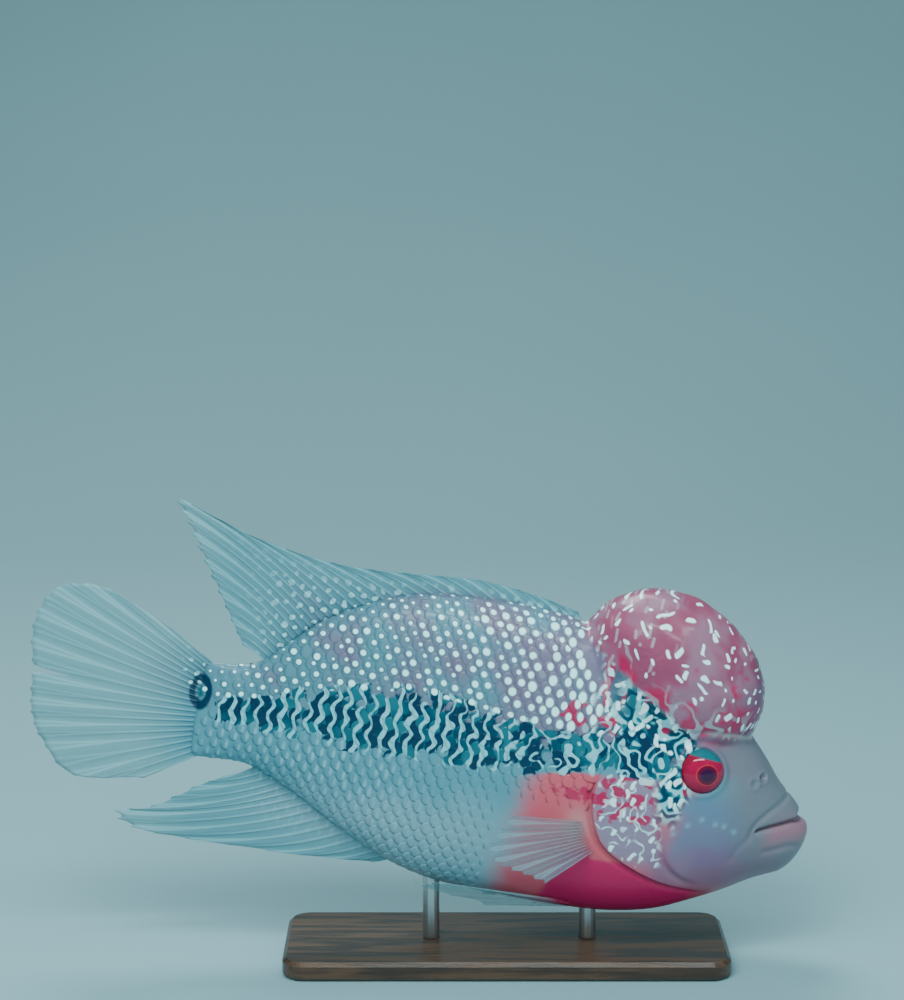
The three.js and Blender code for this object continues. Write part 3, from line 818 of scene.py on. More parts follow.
def addPlaces(mesh, points, arc=None, scaled=False):
    x, y, z = points.T
    if arc is None:
        arc = girth.arcAt(x, angleOf(points)) + np.maximum(z - back(x), 0)
    addVectors(mesh, "place", np.stack([x, arc, z], 1))
    addVectors(mesh, "dome", domePlace(points))
    found = fields(points)
    if scaled:
        # under the plates the skin stays plain, so that no spot of its own shows between them
        found["pearl"] = found["pearl"] * past("plateFront", aheadOfGill(points, **plateLine))
        found["dash"] = 0 * x
    for name, keys in fieldSets.items():
        addVectors(mesh, name, np.stack([found[k] for k in keys], 1))


# Fins: rays as ridges on a thin membrane, both faces alike
finMake = dict(grid=(8, 26), quickGrid=(4, 10), membrane=0.25, thinning=0.35, rayRoot=0.75, rayTip=0.26,
               rayWide=0.13, rayTaper=0.05, fork=0.2, reach=0.996, notchWide=0.16, splitWide=0.13,
               segmentHigh=0.12, segments=90, ripple=0.35, cup=1.5)
dorsal = dict(count=34, spines=18, notch=0.05, bend=0.05, wave=(0.6, 0.09), rays=[
    ((125, 55.6), (122.6, 59.0)), ((116, 56.4), (107, 62.0)), ((99, 57.0), (87, 63.6)),
    ((82, 56.2), (66, 61.9)), ((68, 53.8), (48, 60.4)), ((56, 49.6), (27, 60.6)),
    ((46, 45.2), (0, 65.4)), ((38, 39.8), (-22.8, 73.0)), ((32, 35.2), (-18.2, 65.2)),
    ((27, 30), (-9.6, 52.4)), ((22.5, 25.4), (0.4, 37.6)), ((18, 20.6), (8.8, 25.0))])
anal = dict(count=17, spines=6, notch=0.04, bend=-0.05, wave=(0.5, 0.11), rays=[
    ((75, -41.6), (68.5, -44.8)), ((69, -39.8), (53, -46.0)), ((62, -36.6), (32, -47.4)),
    ((54, -32.8), (2, -48.6)), ((46, -28.6), (-18.6, -47.8)), ((40, -25), (-25.4, -43.2)),
    ((34, -22.2), (-13, -38.8)), ((28.6, -19.6), (0.2, -29.6)), ((22, -17), (10.6, -23.6))])
caudal = dict(count=22, spines=0, notch=0.012, bend=0, sway=5, long=65, split=(10, 0.24), rays=[
    ((2, 15.4), (-16.6, 26.4)), ((0, 13.4), (-40.5, 35.6)), ((-0.6, 10.6), (-56.4, 34.4)),
    ((-1, 7.6), (-63.6, 26)), ((-1.2, 4.4), (-65.6, 14.6)), ((-1.2, 1), (-63.2, 1.6)),
    ((-1.2, -2.6), (-62.4, -8.4)), ((-1, -6), (-60, -17)), ((-0.6, -9.4), (-54.6, -24.6)),
    ((0, -13), (-42.6, -33.6)), ((2, -16.4), (-17, -29.4))])
pectoral = dict(count=13, spines=0, notch=0.05, rootTop=(140.2, -21.8, -9), rootBottom=(144, -21.2, -17.6),
                reachTop=(-30, -14, 1.5), reachMiddle=(-36, -18, -9), reachBottom=(-17, -11, -13))
pelvic = dict(count=6, spines=1, notch=0.06, rootTop=(138, -12.5, -42), rootBottom=(144, -6.5, -44),
              reachTop=(-42, -6, 0.6), reachMiddle=(-57, -3, -4.2), reachBottom=(-34, 0.8, -7.0))


def makeFin(name, fin, placing, nodes):
    perRay, rows = finMake["grid"] if fine else finMake["quickGrid"]
    bm = bmesh.new()
    bmesh.ops.create_grid(bm, x_segments=(fin["count"] - 1) * perRay, y_segments=rows, size=0.5)
    made = bmesh.ops.extrude_face_region(bm, geom=bm.faces[:])
    added = {v for v in made["geom"] if isinstance(v, bmesh.types.BMVert)}
    u, v, side = np.array([(v.co.x + 0.5, v.co.y + 0.5, -1.0 if v in added else 1.0) for v in bm.verts]).T
    ray = u * (fin["count"] - 1)
    nearest = np.round(ray)
    off = ray - nearest
    notch = fin["notch"] * (1 - bump(off, finMake["notchWide"]))
    if "split" in fin:
        row, depth = fin["split"]
        notch = notch + depth * bump(ray - row - 0.5, finMake["splitWide"])
    reach = finMake["reach"] * v * (1 - notch * soft(v, 0.3, 1.0))
    # soft rays fork towards their tips and are jointed; spines do neither
    softRay = nearest >= fin["spines"]
    spread = np.where(softRay, finMake["fork"] * soft(v, 0.45, 1.0), 0)
    width = finMake["rayWide"] - finMake["rayTaper"] * v
    ridge = np.maximum(bump(off - spread, width), bump(off + spread, width))
    rayHalf = finMake["rayRoot"] + (finMake["rayTip"] - finMake["rayRoot"]) * v ** 0.7
    rayHalf = rayHalf * (1 + finMake["segmentHigh"] * np.cos(v * finMake["segments"]) * softRay)
    half = finMake["membrane"] * (1 - finMake["thinning"] * v)
    half = half + np.maximum(rayHalf - finMake["membrane"], 0.05) * ridge
    points, normal = placing(u, reach)
    ripple = finMake["ripple"] * np.sin(ray * math.pi) * soft(v, 0.1, 0.9)
    points = points + normal * (side * half + ripple)[:, None]
    putVerts(bm.verts, toWorld(points))
    bmesh.ops.recalc_face_normals(bm, faces=bm.faces)
    piece = finishMesh(bm, name)
    addVectors(piece.data, "fin", np.stack([ray, reach, ridge], 1))
    # its marks carry on from the back or the belly that it stands on
    x, y, z = points.T
    above = z > widest(x)
    edge = np.where(above, back(x), belly(x))
    addPlaces(piece.data, points, girth.arcAt(x, np.where(above, 0.0, math.pi)) + z - edge)
    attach(piece, "root")
    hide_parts(*nodes)
    return piece


def waving(fin):
    high, often = fin["wave"]
    return lambda x, v: high * np.sin(x * often) * v


def tailSway(x, v):
    return caudal["sway"] * (np.maximum(-x, 0) / caudal["long"]) ** 2


def middlePlacing(fin, sway):
    roots = [(r[0], 0, r[1]) for r, t in fin["rays"]]
    tips = [(t[0], 0, t[1]) for r, t in fin["rays"]]

    def placing(u, v):
        root, tip = alongLine(roots, u), alongLine(tips, u)
        points = root + (tip - root) * v[:, None]
        points[:, 2] += fin["bend"] * 4 * v * (1 - v) * np.linalg.norm(tip - root, axis=1)
        points[:, 1] = sway(points[:, 0], v)
        return points, np.tile((0.0, 1.0, 0.0), (len(u), 1))
    return placing


def pairedPlacing(fin, side):
    mirror = np.array((1, -side, 1))
    top, bottom = np.array(fin["rootTop"]) * mirror, np.array(fin["rootBottom"]) * mirror
    reaches = [np.array(fin[k]) * mirror for k in ("reachTop", "reachMiddle", "reachBottom")]
    normal = np.cross(bottom - top, reaches[1])
    normal = normal / np.linalg.norm(normal) * -side

    def placing(u, v):
        root = top + (bottom - top) * u[:, None]
        points = root + alongLine(reaches, u) * v[:, None]
        points = points + normal * (finMake["cup"] * v * v * np.sin(u * math.pi))[:, None]
        return points, np.tile(normal, (len(u), 1))
    return placing


def makeFins():
    fins = [makeFin("dorsal_membrane", dorsal, middlePlacing(dorsal, waving(dorsal)), ["dorsal_fin"]),
            makeFin("anal_membrane", anal, middlePlacing(anal, waving(anal)), ["anal_fin"]),
            makeFin("caudal_membrane", caudal, middlePlacing(caudal, tailSway), ["caudal_fin"])]
    for side, word in ((-1, "right"), (1, "left")):
        for name, fin in (("pectoral", pectoral), ("pelvic", pelvic)):
            nodes = [name + "_fin_" + word]
            fins.append(makeFin(name + "_membrane_" + word, fin, pairedPlacing(fin, side), nodes))
    print("fins made")
    return fins


# Eyes: a glossy ball that bulges out of its socket
eyeMake = dict(grid=(64, 48), quickGrid=(24, 16), bulge=0.35, bulgeWide=3.6)


def makeEye(side, word):
    around, up = eyeMake["grid"] if fine else eyeMake["quickGrid"]
    bm = bmesh.new()
    bmesh.ops.create_uvsphere(bm, u_segments=around, v_segments=up, radius=1)
    points = np.array([v.co for v in bm.verts])
    axes, centre = eyeFrame(side)
    local = np.stack([points[:, 0] * eye["long"], points[:, 2] * eye["out"], points[:, 1] * eye["high"]], 1)
    ring = np.hypot(local[:, 0], local[:, 2])
    local[:, 1] += (local[:, 1] > 0) * eyeMake["bulge"] * bump(ring, eyeMake["bulgeWide"])
    putVerts(bm.verts, toWorld(local * np.array((1, side, 1)) @ axes.T + centre))
    bmesh.ops.recalc_face_normals(bm, faces=bm.faces)
    ball = finishMesh(bm, "eyeball_" + word)
    addVectors(ball.data, "iris", local)
    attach(ball, "root")
    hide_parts("eye_" + word)
    return ball


# Scales: thin overlapping plates over the trunk, each sunk at its front and lifted at its free edge
scaleMake = dict(along=4.4, across=7.4, long=3.5, wide=2.9, thick=0.12, rimThin=0.55, under=-0.05, lift=0.17,
                 sunk=0.24, droop=0.10, steps=6, quickSteps=4, columns=36, rows=26, stray=0.16, vary=0.06)
scaleLimits = dict(back=0.6, belly=0.8, front=-2.2, hump=1.05, smooth=0.96)
scaleShrink = dict(edge=0.72, edgeSpan=(1, 9), tail=0.8, tailSpan=(0, 25), flat=0.8)
smoothBelly = dict(along=(84, 112), down=(-6, 4))
bakeMap = dict(patch=0.003, left=0.06, long=0.88, gap=0.03, high=0.44, girth=160)


def backArc(u):
    return girth.arcAt(u, 0 * u)


def bellyArc(u):
    return girth.arcAt(u, 0 * u + math.pi)


def onSmoothBelly(u, v):
    return soft(u, *smoothBelly["along"]) * (1 - soft(v, *smoothBelly["down"]))


def scaleSites():
    # Staggered rows from the tail stalk to the gill cover and the nape
    step, row, half = scaleMake["along"], scaleMake["across"] / 2, scaleMake["rows"]
    sites = np.array([((i + 0.5 * (j % 2)) * step, j * row)
                      for i in range(scaleMake["columns"]) for j in range(-half, half + 1)])
    sites = sites + np.random.default_rng(7).uniform(-scaleMake["stray"], scaleMake["stray"], sites.shape)
    u, v = sites.T
    points = bodyAt(u, girth.angleAt(u, v))
    inside = (v < backArc(u) - scaleLimits["back"]) & (v > bellyArc(u) + scaleLimits["belly"])
    behind = aheadOfGill(points, **plateLine) < scaleLimits["front"]
    offHump = humpReach(points) > scaleLimits["hump"]
    return sites[(u > 0) & inside & behind & offHump & (onSmoothBelly(u, v) <= scaleLimits["smooth"])]


def flatPlates(name, side, count):
    # One round plate in two layers, repeated; mirroring turns the right side's out, so the left's are turned
    steps = scaleMake["steps"] if fine else scaleMake["quickSteps"]
    bm = bmesh.new()
    bmesh.ops.create_grid(bm, x_segments=steps, y_segments=steps, size=1)
    made = bmesh.ops.extrude_face_region(bm, geom=bm.faces[:])
    under = {v for v in made["geom"] if isinstance(v, bmesh.types.BMVert)}
    x, y, layer = np.array([(v.co.x, v.co.y, -1.0 if v in under else 1.0) for v in bm.verts]).T
    putVerts(bm.verts, np.stack([x * np.sqrt(1 - y ** 2 / 2), y * np.sqrt(1 - x ** 2 / 2), layer * 0.1], 1))
    bmesh.ops.recalc_face_normals(bm, faces=bm.faces)
    if side > 0:
        bmesh.ops.reverse_faces(bm, faces=bm.faces)
    plates = finishMesh(bm, name)
    repeat = plates.modifiers.new("row", "ARRAY")
    repeat.count = count
    repeat.use_relative_offset = False
    applyModifiers(plates)
    return plates


def addBakeMap(mesh, sites, side, a, b):
    # Every plate is a small patch at its root's place on the skin's unwrap
    patch = bakeMap["patch"]
    down = (backArc(sites[:, 0]) - sites[:, 1])[:, None] / bakeMap["girth"]
    rootU = bakeMap["left"] + bakeMap["long"] * sites[:, :1] / bodyLine["end"]
    rootV = 0.5 + side * (bakeMap["gap"] + bakeMap["high"] * down)
    bake = np.stack([(rootU + a * patch / 2).ravel(), (rootV + b * patch / 2).ravel()], 1)
    corner = np.empty(len(mesh.loops), np.int32)
    mesh.loops.foreach_get("vertex_index", corner)
    mesh.uv_layers.new(name="OFBake").data.foreach_set("uv", bake[corner].astype(np.float32).ravel())


def makeScales(side, word):
    sites = scaleSites()
    count = len(sites)
    plates = flatPlates("scales_" + word, side, count)
    mesh = plates.data
    local = coords(mesh).reshape(count, -1, 3)
    draw = np.random.default_rng(12 + side)
    # scales shrink towards the tail, the back and the belly, and lie flatter over the belly's front
    siteU, siteV = sites.T
    edge = np.minimum(backArc(siteU) - siteV, siteV - bellyArc(siteU))
    size = 1 + draw.uniform(-scaleMake["vary"], scaleMake["vary"], count)
    for least, span, value in ((scaleShrink["edge"], scaleShrink["edgeSpan"], edge),
                               (scaleShrink["tail"], scaleShrink["tailSpan"], siteU)):
        size = size * (least + (1 - least) * soft(value, *span))
    size = size[:, None]
    flat = (1 - scaleShrink["flat"] * onSmoothBelly(siteU, siteV))[:, None]
    a, b, layer = local[..., 0], local[..., 1], np.sign(local[..., 2])
    u = (sites[:, :1] + a * scaleMake["long"] * size).ravel()
    v = (sites[:, 1:] + b * scaleMake["wide"] * size).ravel()
    angle = girth.angleAt(u, np.clip(v, bellyArc(u) + 0.2, backArc(u) - 0.2))
    points = bodyAt(u, angle)
    ahead = bodyAt(u + 0.5, angle) - points
    along = ahead / np.linalg.norm(ahead, axis=1)[:, None]
    normal = bodyAt(u, angle, 0.5) - points
    normal = normal - along * (normal * along).sum(1)[:, None]
    normal /= np.linalg.norm(normal, axis=1)[:, None]
    lift = flat * scaleMake["lift"] * (0.5 - 0.5 * a) - scaleMake["sunk"] * (0.5 + 0.5 * a)
    lift = lift - scaleMake["droop"] * b * b
    thick = scaleMake["thick"] * (1 - scaleMake["rimThin"] * np.hypot(a, b) ** 4)
    height = (lift + 0.5 * layer * thick + (0.5 - 0.5 * layer) * scaleMake["under"]) * (0.6 + 0.4 * size)
    mirror = np.array((1, side, 1))
    setCoords(mesh, toWorld((points + normal * height.ravel()[:, None]) * mirror))
    addPlaces(mesh, points * mirror, v)
    chance = np.repeat(draw.uniform(0, 1, count), local.shape[1])
    addVectors(mesh, "plate", np.stack([a.ravel(), b.ravel(), chance], 1))
    addBakeMap(mesh, sites, side, a, b)
    shadeSmooth(mesh)
    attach(plates, "root")
    print("scales made", word, count, len(mesh.polygons))
    return plates


# Colours of the markings
tones = dict(
    upperTeal=(0.070, 0.20, 0.26, 1), upperMauve=(0.135, 0.125, 0.20, 1), flank=(0.070, 0.24, 0.31, 1),
    belly=(0.17, 0.34, 0.41, 1), dash=(0.20, 0.46, 0.54, 1), pearl=(0.52, 0.98, 1.0, 1),
    navy=(0.0004, 0.024, 0.060, 1), teal=(0.001, 0.12, 0.16, 1), bright=(0.20, 0.58, 0.66, 1),
    salmon=(0.50, 0.085, 0.12, 1), magenta=(0.46, 0.010, 0.090, 1), crimson=(0.36, 0.007, 0.065, 1),
    humpPale=(0.24, 0.115, 0.18, 1), humpRose=(0.23, 0.050, 0.105, 1), humpRim=(0.10, 0.055, 0.12, 1),
    humpLight=(0.34, 0.30, 0.36, 1), mark=(0.60, 0.95, 1.0, 1), markGrey=(0.26, 0.36, 0.41, 1),
    cover=(0.17, 0.19, 0.29, 1), cheek=(0.085, 0.16, 0.26, 1), cheekViolet=(0.115, 0.115, 0.23, 1),
    face=(0.12, 0.14, 0.175, 1), chin=(0.21, 0.105, 0.155, 1), lips=(0.28, 0.12, 0.17, 1),
    # The pale grey tone on the next line is a painted highlight along the hump's lower edge, not a skin
    # colour
    crease=(0.42, 0.40, 0.43, 1), shade=(0.02, 0.10, 0.14, 1), beige=(0.42, 0.28, 0.28, 1),
    rosy=(0.30, 0.05, 0.11, 1))

# Sizes of the marks in millimetres: spots on the scales, short strokes, and winding lines
pearlMake = dict(least=0.60, vary=0.5, drift=0.9, grow=0.38, tall=(1.0, 1.6), edge=0.25, halo=1.7,
                 haloEdge=0.35, ahead=0.30, offAlong=1.3, offAcross=1.7)
dashMake = dict(half=(0.6, 1.7), edge=0.5)
strokeMake = dict(random=0.9, vary=1.2, shorter=0.1, cut=0.04)
strokeSets = dict(
    cover=dict(spacing=7.0, half=(1.4, 0.62), lean=1.5, spread=1.2, bare=0.2, edge=0.4),
    nape=dict(spacing=5.6, half=(1.9, 0.74), lean=1.35, spread=1.4, bare=0.12, edge=0.35),
    streaks=dict(spacing=7.5, half=(2.8, 0.55), lean=1.5, spread=0.6, bare=0.25, edge=0.5),
    hump=dict(spacing=8.4, half=(1.6, 0.72), lean=1.25, spread=2.4, bare=0.12, edge=0.35))
mazes = dict(band=dict(scale=0.13, turns=5.5), cover=dict(scale=0.15, turns=4.5),
             hump=dict(scale=0.085, turns=5.5))


class Places:
    # Where a point lies, its fields, and the slow noises that several marks share
    def __init__(self, shop):
        self.u, self.v, self.z = shop.parts("place")
        for name, keys in fieldSets.items():
            for key, wire in zip(keys, shop.parts(name)):
                setattr(self, key, wire)
        flat = shop.join(self.u, self.v)
        self.slow = shop.noise(flat, 0.05, 2, 0.5) - 0.5
        self.medium = shop.noise(flat, 0.13, 2, 0.5)
        self.drift = self.medium - 0.5
        self.tangle = shop.noise(flat, 0.21, 1, 0.4) - 0.5
        self.bent = shop.warp(flat, flat, 0.3, 2.6)
        self.upright = shop.join(self.u, self.z)
        self.uprightBent = shop.warp(self.upright, self.upright, 0.2, 3.5)


def flankSpots(shop, at, plate):
    # A pearl on every scale of the upper flank with a shade round it, a dash on those of the lower flank
    if plate:
        a, b, chance = plate
        other = (chance * 7.3).math("FRACT")
        spot = ((a + pearlMake["ahead"]) * scaleMake["long"] + (chance - 0.5) * pearlMake["offAlong"],
                b * scaleMake["wide"] + (other - 0.5) * pearlMake["offAcross"])
    else:
        x, y, lot = shop.spots(at.bent, scaleMake["along"], scaleMake["across"], 0.35)
        spot, chance, other = (x, y), lot[0], lot[1]
    size = chance * pearlMake["vary"] + pearlMake["least"] + at.drift * pearlMake["drift"]
    size = size + shop.step(at.u, 60, 132) * pearlMake["grow"]
    tall = shop.step(at.u, 100, 140, pearlMake["tall"]) * size
    wide = pearlMake["halo"]
    onUpper = shop.step(at.pearl, 0.2, 0.6) * shop.step(other, 0.03, 0.07)
    pearl = shop.dot(spot, (size, tall), pearlMake["edge"]) * onUpper
    pearl = pearl * shop.step(at.worm + (other - 0.5) * 0.8, 0.75, 0.45)
    halo = shop.dot(spot, (size * wide, tall * wide), pearlMake["haloEdge"]) * onUpper
    halo = halo * shop.step(at.u, 110, 30)
    dash = shop.dot(spot, dashMake["half"], dashMake["edge"]) * at.dash
    return chance, other, pearl, halo, dash * shop.step(at.medium, 0.25, 0.6, (0.4, 1.0))


def bandMarks(shop, at, chance, winding):
    # The dark band: bars that follow the scales' edges by the tail, and a tangle ahead
    loose = shop.step(at.u, 50, 120, (0.6, 1.5))
    zig = (at.v * (2 * math.pi / scaleMake["across"])).math("SINE") * 0.17
    wave = ((at.u * (1 / scaleMake["along"]) + zig + at.tangle * loose) * (2 * math.pi)).math("SINE")
    wave = wave + (winding - wave) * shop.step(at.u + at.drift * 40, 92, 128)
    lightPart = shop.step(wave + at.drift * 2.2, 0.30, 0.80)
    jitter = at.drift * 1.7 + (chance - 0.5) * 0.9 + at.tangle * 0.8
    frayed = at.dark + jitter * shop.step(at.dark, 0.02, 0.2)
    return shop.step(frayed, 0.42, 0.60) * (1 - lightPart), shop.step(frayed, 0.25, 0.5) * lightPart


def headTones(shop, at, colour):
    # Gill cover, cheek, snout, lips and throat, and the salmon and magenta behind them
    spill = shop.noise(at.bent, 0.26, 1, 0.5)
    coverSpill = shop.step(spill * at.cover * shop.step(at.z, -18, -4), 0.48, 0.56)
    violet = shop.mix(shop.step(at.slow + at.z * 0.02, -0.05, -0.45), tones["cheek"], tones["cheekViolet"])
    chin = shop.step(at.z + at.drift * 10, -8, -27) * shop.most(at.snout, at.cheek)
    return shop.paint(
        colour, (at.cover * 0.85, "cover"), (coverSpill * 0.9, "crimson"),
        (shop.step(at.blotch * spill, 0.38, 0.48) * 0.85, "crimson"), (at.cheek * 0.9, violet),
        (at.snout * 0.95, "face"), (chin * 0.9, "chin"), (at.lips * 0.8, "lips"), (at.rosy * 0.7, "rosy"),
        (at.pale * 0.7, "beige"), (at.pores * 0.5, "dash"),
        (shop.step(at.red + at.drift * 0.4, 0.15, 0.75), "magenta"))


def humpTones(shop):
    # Rose with crimson patches low in front, white marks on top, streaks behind, grey windings at its foot
    dome = shop.attribute("dome")
    # a warp in the round keeps the hump's two sides from mirroring each other
    solid = shop.stretch(shop.objectPlace(), 1 / mm, 1 / mm, 1 / mm)
    turned = shop.warp(dome, solid, 0.03, 34.0)
    bent = shop.warp(turned, dome, 0.15, 4.0)
    x, z = shop.split(dome)[:2]
    rose = shop.step(shop.noise(turned, 0.06, 2, 0.5), 0.4, 0.6)
    patches = shop.step(shop.noise(turned, 0.085, 2, 0.6) - z * 0.011 + x * 0.001, 0.48, 0.64)
    windings = shop.step(shop.maze(bent, **mazes["hump"]), 0.35, 0.75) * shop.step(z + x * 0.15, 2, -10)
    streaks = shop.strokes(dome, **strokeSets["streaks"]) * shop.step(x, 2, -12)
    marks = shop.strokes(bent, **strokeSets["hump"]) * shop.step(z + x * 0.35, -7, 0)
    return shop.paint(
        shop.mix(rose, tones["humpPale"], tones["humpRose"]), (patches * 0.9, "crimson"),
        (shop.step(x - z * 0.5, 24, 40) * 0.7, "humpRim"), (windings * 0.8, "markGrey"),
        (streaks * 0.7, "humpLight"), (marks * 0.95, "mark"))


def markings(shop, plate=None):
    at = Places(shop)
    chance, other, pearl, halo, dash = flankSpots(shop, at, plate)
    winding = shop.maze(at.upright, **mazes["band"])
    bars, lights = bandMarks(shop, at, chance, winding)
    upper = shop.mix(shop.step(at.slow + at.u * 0.0022, 0.0, 0.35), tones["upperTeal"], tones["upperMauve"])
    lower = shop.step(at.z + at.slow * 14 - at.u * 0.12, -14, -36)
    colour = shop.paint(
        upper, (shop.step(at.band, 0.6, -0.8), "flank"), (lower, "belly"), (halo * 0.5, "shade"),
        (dash * 0.8, "dash"), (shop.step(at.salmon + at.drift * 0.3, 0.05, 0.95), "salmon"))
    colour = headTones(shop, at, colour)

    # nape: teal and navy windings with pale lines, crimson between them towards the back
    nape = shop.step(at.worm + at.drift * 0.5, 0.3, 0.7)
    fore = nape * shop.step(at.u + at.drift * 16, 134, 147)
    napeRed = nape * shop.step(at.tangle + (147 - at.u) * 0.004, 0.06, 0.12)
    napeMarks = shop.step(winding, 0.25, 0.65) * fore * shop.step(at.tangle, -0.14, -0.06)
    napeDots = shop.strokes(at.uprightBent, **strokeSets["nape"]) * nape
    net = shop.step(shop.maze(at.uprightBent, **mazes["cover"]), 0.55, 0.9) * shop.step(at.tangle, -0.10, 0.0)
    coverDots = shop.strokes(at.uprightBent, **strokeSets["cover"])
    coverMarks = shop.most(net * 0.6, coverDots) * shop.step(at.cover, 0.3, 0.9)
    barTone = shop.mix(shop.step(other + at.slow * 2, 0.4, 0.95), tones["navy"], tones["teal"])
    ring = shop.step((at.ocellus - 0.72).math("ABSOLUTE"), 0.36, 0.16)
    colour = shop.paint(
        colour, (fore, "teal"), (fore * shop.step(winding, -0.1, -0.5) * 0.9, "navy"),
        (napeRed * 0.9, "crimson"), (bars, barTone), (lights * 0.8, "bright"), (ring, "navy"),
        (shop.step(at.ocellus, 0.4, 0.2), "teal"),
        (pearl, "pearl"), (napeMarks * 0.85, shop.mix(fore, tones["mark"], tones["bright"])),
        (shop.most(napeDots, coverMarks) * 0.9, "mark"),
        # last, a pale painted highlight along the hump's lower edge
        (shop.step(at.kok + at.drift * 0.7, 0.3, 0.7), humpTones(shop)), (at.crease * 0.75, "crease"))
    height = shop.most(shop.most(pearl, napeMarks), coverMarks) * 0.5 + at.medium * 0.3
    return colour, height, pearl


def skinMaterial():
    shop = Shop("wet skin")
    colour, height, _ = markings(shop)
    pores = shop.cells(shop.objectPlace(), 1400)
    return shop.surface({
        "Base Color": colour, "Roughness": shop.noise(shop.objectPlace(), 220, 2, 0.5) * 0.16 + 0.30,
        "Normal": shop.relief(height * 0.6 + pores * 0.12, 0.0004, 0.5),
        "Specular IOR Level": 0.25, "Coat Weight": 0.25, "Coat Roughness": 0.14})


def plateMaterial():
    shop = Shop("scale plates")
    a, b, chance = shop.parts("plate")
    colour, height, _ = markings(shop, (a, b, chance))
    rings = ((a * a + b * b).math("SQRT") * 42).math("SINE")
    # the free edge of every plate is darkened with painted shade
    return shop.surface({
        "Base Color": shop.paint(colour, (shop.step(a, -0.6, -1.0) * 0.14, "shade")),
        "Roughness": chance * 0.1 + 0.28, "Normal": shop.relief(height * 0.5 + rings * 0.05, 0.0004, 0.45),
        "Specular IOR Level": 0.3, "Coat Weight": 0.3, "Coat Roughness": 0.12})


# Fin membranes: the paired fins are nearly clear and carry no spots
finTones = dict(near=(0.070, 0.26, 0.32), far=(0.16, 0.36, 0.40), web=(0.13, 0.33, 0.39, 1),
                ray=(0.26, 0.50, 0.55, 1))


def finMaterial(name, clear, glow, spotted):
    shop = Shop(name)
    colour, _, pearl = markings(shop)
    u = shop.parts("place")[0]
    _, along, ridge = shop.parts("fin")
    web = shop.noise(shop.attribute("fin"), 3.0, 3, 0.6)
    near, far = [(*[c * glow for c in finTones[key]], 1) for key in ("near", "far")]
    bodyTone = shop.step(along, 0.5, 0.05)
    membrane = shop.paint(
        shop.mix(shop.step(u, 4, -20), near, far), (web * 0.5, finTones["web"]),
        (ridge * 0.45, finTones["ray"]),
        (bodyTone * 0.6 + shop.step(along, 0.17, 0.06) * 0.35, colour))
    if spotted:
        membrane = shop.paint(
            membrane, (pearl * shop.step(along, 0.85, 0.2) * 0.6, "dash"),
            (shop.step(along, 0.93, 0.99) * shop.step(u, -30, 0) * 0.6, "teal"))
    return shop.surface({
        "Base Color": membrane, "Roughness": web * 0.1 + 0.34,
        "Normal": shop.relief(web * 0.3 + ridge * 0.5, 0.0003, 0.4),
        "Alpha": shop.step(ridge + bodyTone * 0.5, 0.0, 0.8, (clear * 0.8, min(clear * 1.5, 0.98))),
        "Specular IOR Level": 0.3, "Coat Weight": 0.15, "Coat Roughness": 0.2})


# Iris: two reds in fibres, a dark rim, a thin orange ring, the pupil set forward and down, teal on top
irisTones = dict(dark=(0.22, 0.0006, 0.030, 1), light=(0.44, 0.001, 0.055, 1), rim=(0.24, 0.004, 0.03, 1),
                 orange=(0.46, 0.05, 0.04, 1), pupilEdge=(0.12, 0.0005, 0.020, 1),
                 pupil=(0.032, 0.0005, 0.034, 1), top=(0.004, 0.12, 0.15, 1))


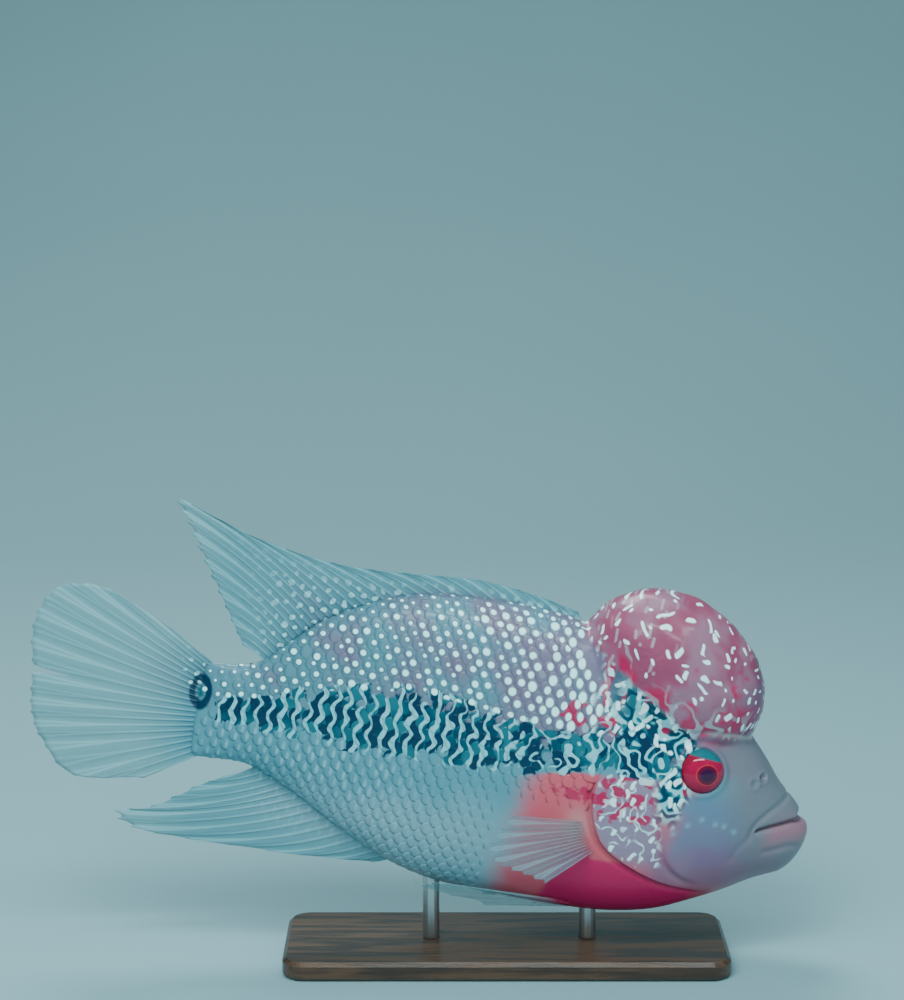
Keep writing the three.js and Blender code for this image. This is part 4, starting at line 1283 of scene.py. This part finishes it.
def eyeMaterial():
    shop = Shop("eye")
    x, y, z = shop.parts("iris")
    ring = (((x - 0.7) ** 2.0) + (((z + 0.8) * 1.12) ** 2.0)).math("SQRT")
    fibres = shop.noise(shop.attribute("iris"), 0.9, 3, 0.7)
    orange = shop.step((ring - 4.0).math("ABSOLUTE"), 0.3, 0.1) * 0.55
    iris = shop.paint(
        shop.mix(fibres, irisTones["dark"], irisTones["light"]),
        (shop.step(ring, 6.6, 8.0), irisTones["rim"]),
        (orange, irisTones["orange"]), (shop.step(ring, 3.9, 3.5), irisTones["pupilEdge"]),
        (shop.step(ring, 3.5, 1.9), irisTones["pupil"]),
        (shop.step(z + x * 0.12, 4.2, 5.0), irisTones["top"]))
    return shop.surface({
        "Base Color": iris, "Roughness": fibres * 0.1 + 0.2, "Specular IOR Level": 0.0,
        "Coat Weight": 1.0, "Coat Roughness": 0.02})


def woodMaterial():
    shop = Shop("stained wood")
    grain = shop.noise(shop.stretch(shop.objectPlace(), 14, 160, 160), 1.0, 6, 0.6)
    rings = (grain * 26).math("SINE") * 0.5 + 0.5
    return shop.surface({
        "Base Color": shop.mix(rings, (0.030, 0.017, 0.011, 1), (0.075, 0.040, 0.022, 1)),
        "Roughness": rings * 0.12 + 0.32, "Normal": shop.relief(rings, 0.0002, 0.25),
        "Coat Weight": 0.25, "Coat Roughness": 0.2})


def steelMaterial():
    shop = Shop("brushed steel")
    brushed = shop.noise(shop.stretch(shop.objectPlace(), 900, 900, 60), 1.0, 3, 0.6)
    return shop.surface({
        "Base Color": shop.mix(brushed, (0.52, 0.53, 0.54, 1), (0.68, 0.69, 0.70, 1)),
        "Roughness": brushed * 0.18 + 0.22, "Metallic": 1.0, "Normal": shop.relief(brushed, 0.0001, 0.2)})


def giveMaterial(pieces, material):
    for piece in pieces:
        piece.data.materials.clear()
        piece.data.materials.append(material)


setCamera()
setLight()
makeBackdrop()
print("stage set")
skin = makeSkin()
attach(skin, "root")
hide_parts("head", "lower_jaw", "hump", "gill_cover_right", "gill_cover_left", "trunk", "tail_stalk")
scales = [makeScales(-1, "right"), makeScales(1, "left")]
fins = makeFins()
eyes = [makeEye(-1, "right"), makeEye(1, "left")]
pairedFins = [piece for piece in fins if piece.name.startswith(("pectoral", "pelvic"))]
middleFins = [piece for piece in fins if piece not in pairedFins]
rods = [frame["nodes"][node] for node in ("stand_rod_front", "stand_rod_rear")]
giveMaterial([skin], skinMaterial())
giveMaterial(scales, plateMaterial())
giveMaterial(middleFins, finMaterial("fin membrane", clear=0.90, glow=1.0, spotted=True))
giveMaterial(pairedFins, finMaterial("clear fin membrane", clear=0.26, glow=1.15, spotted=False))
giveMaterial(eyes, eyeMaterial())
giveMaterial([frame["nodes"]["stand_base"]], woodMaterial())
giveMaterial(rods, steelMaterial())
print("materials made")
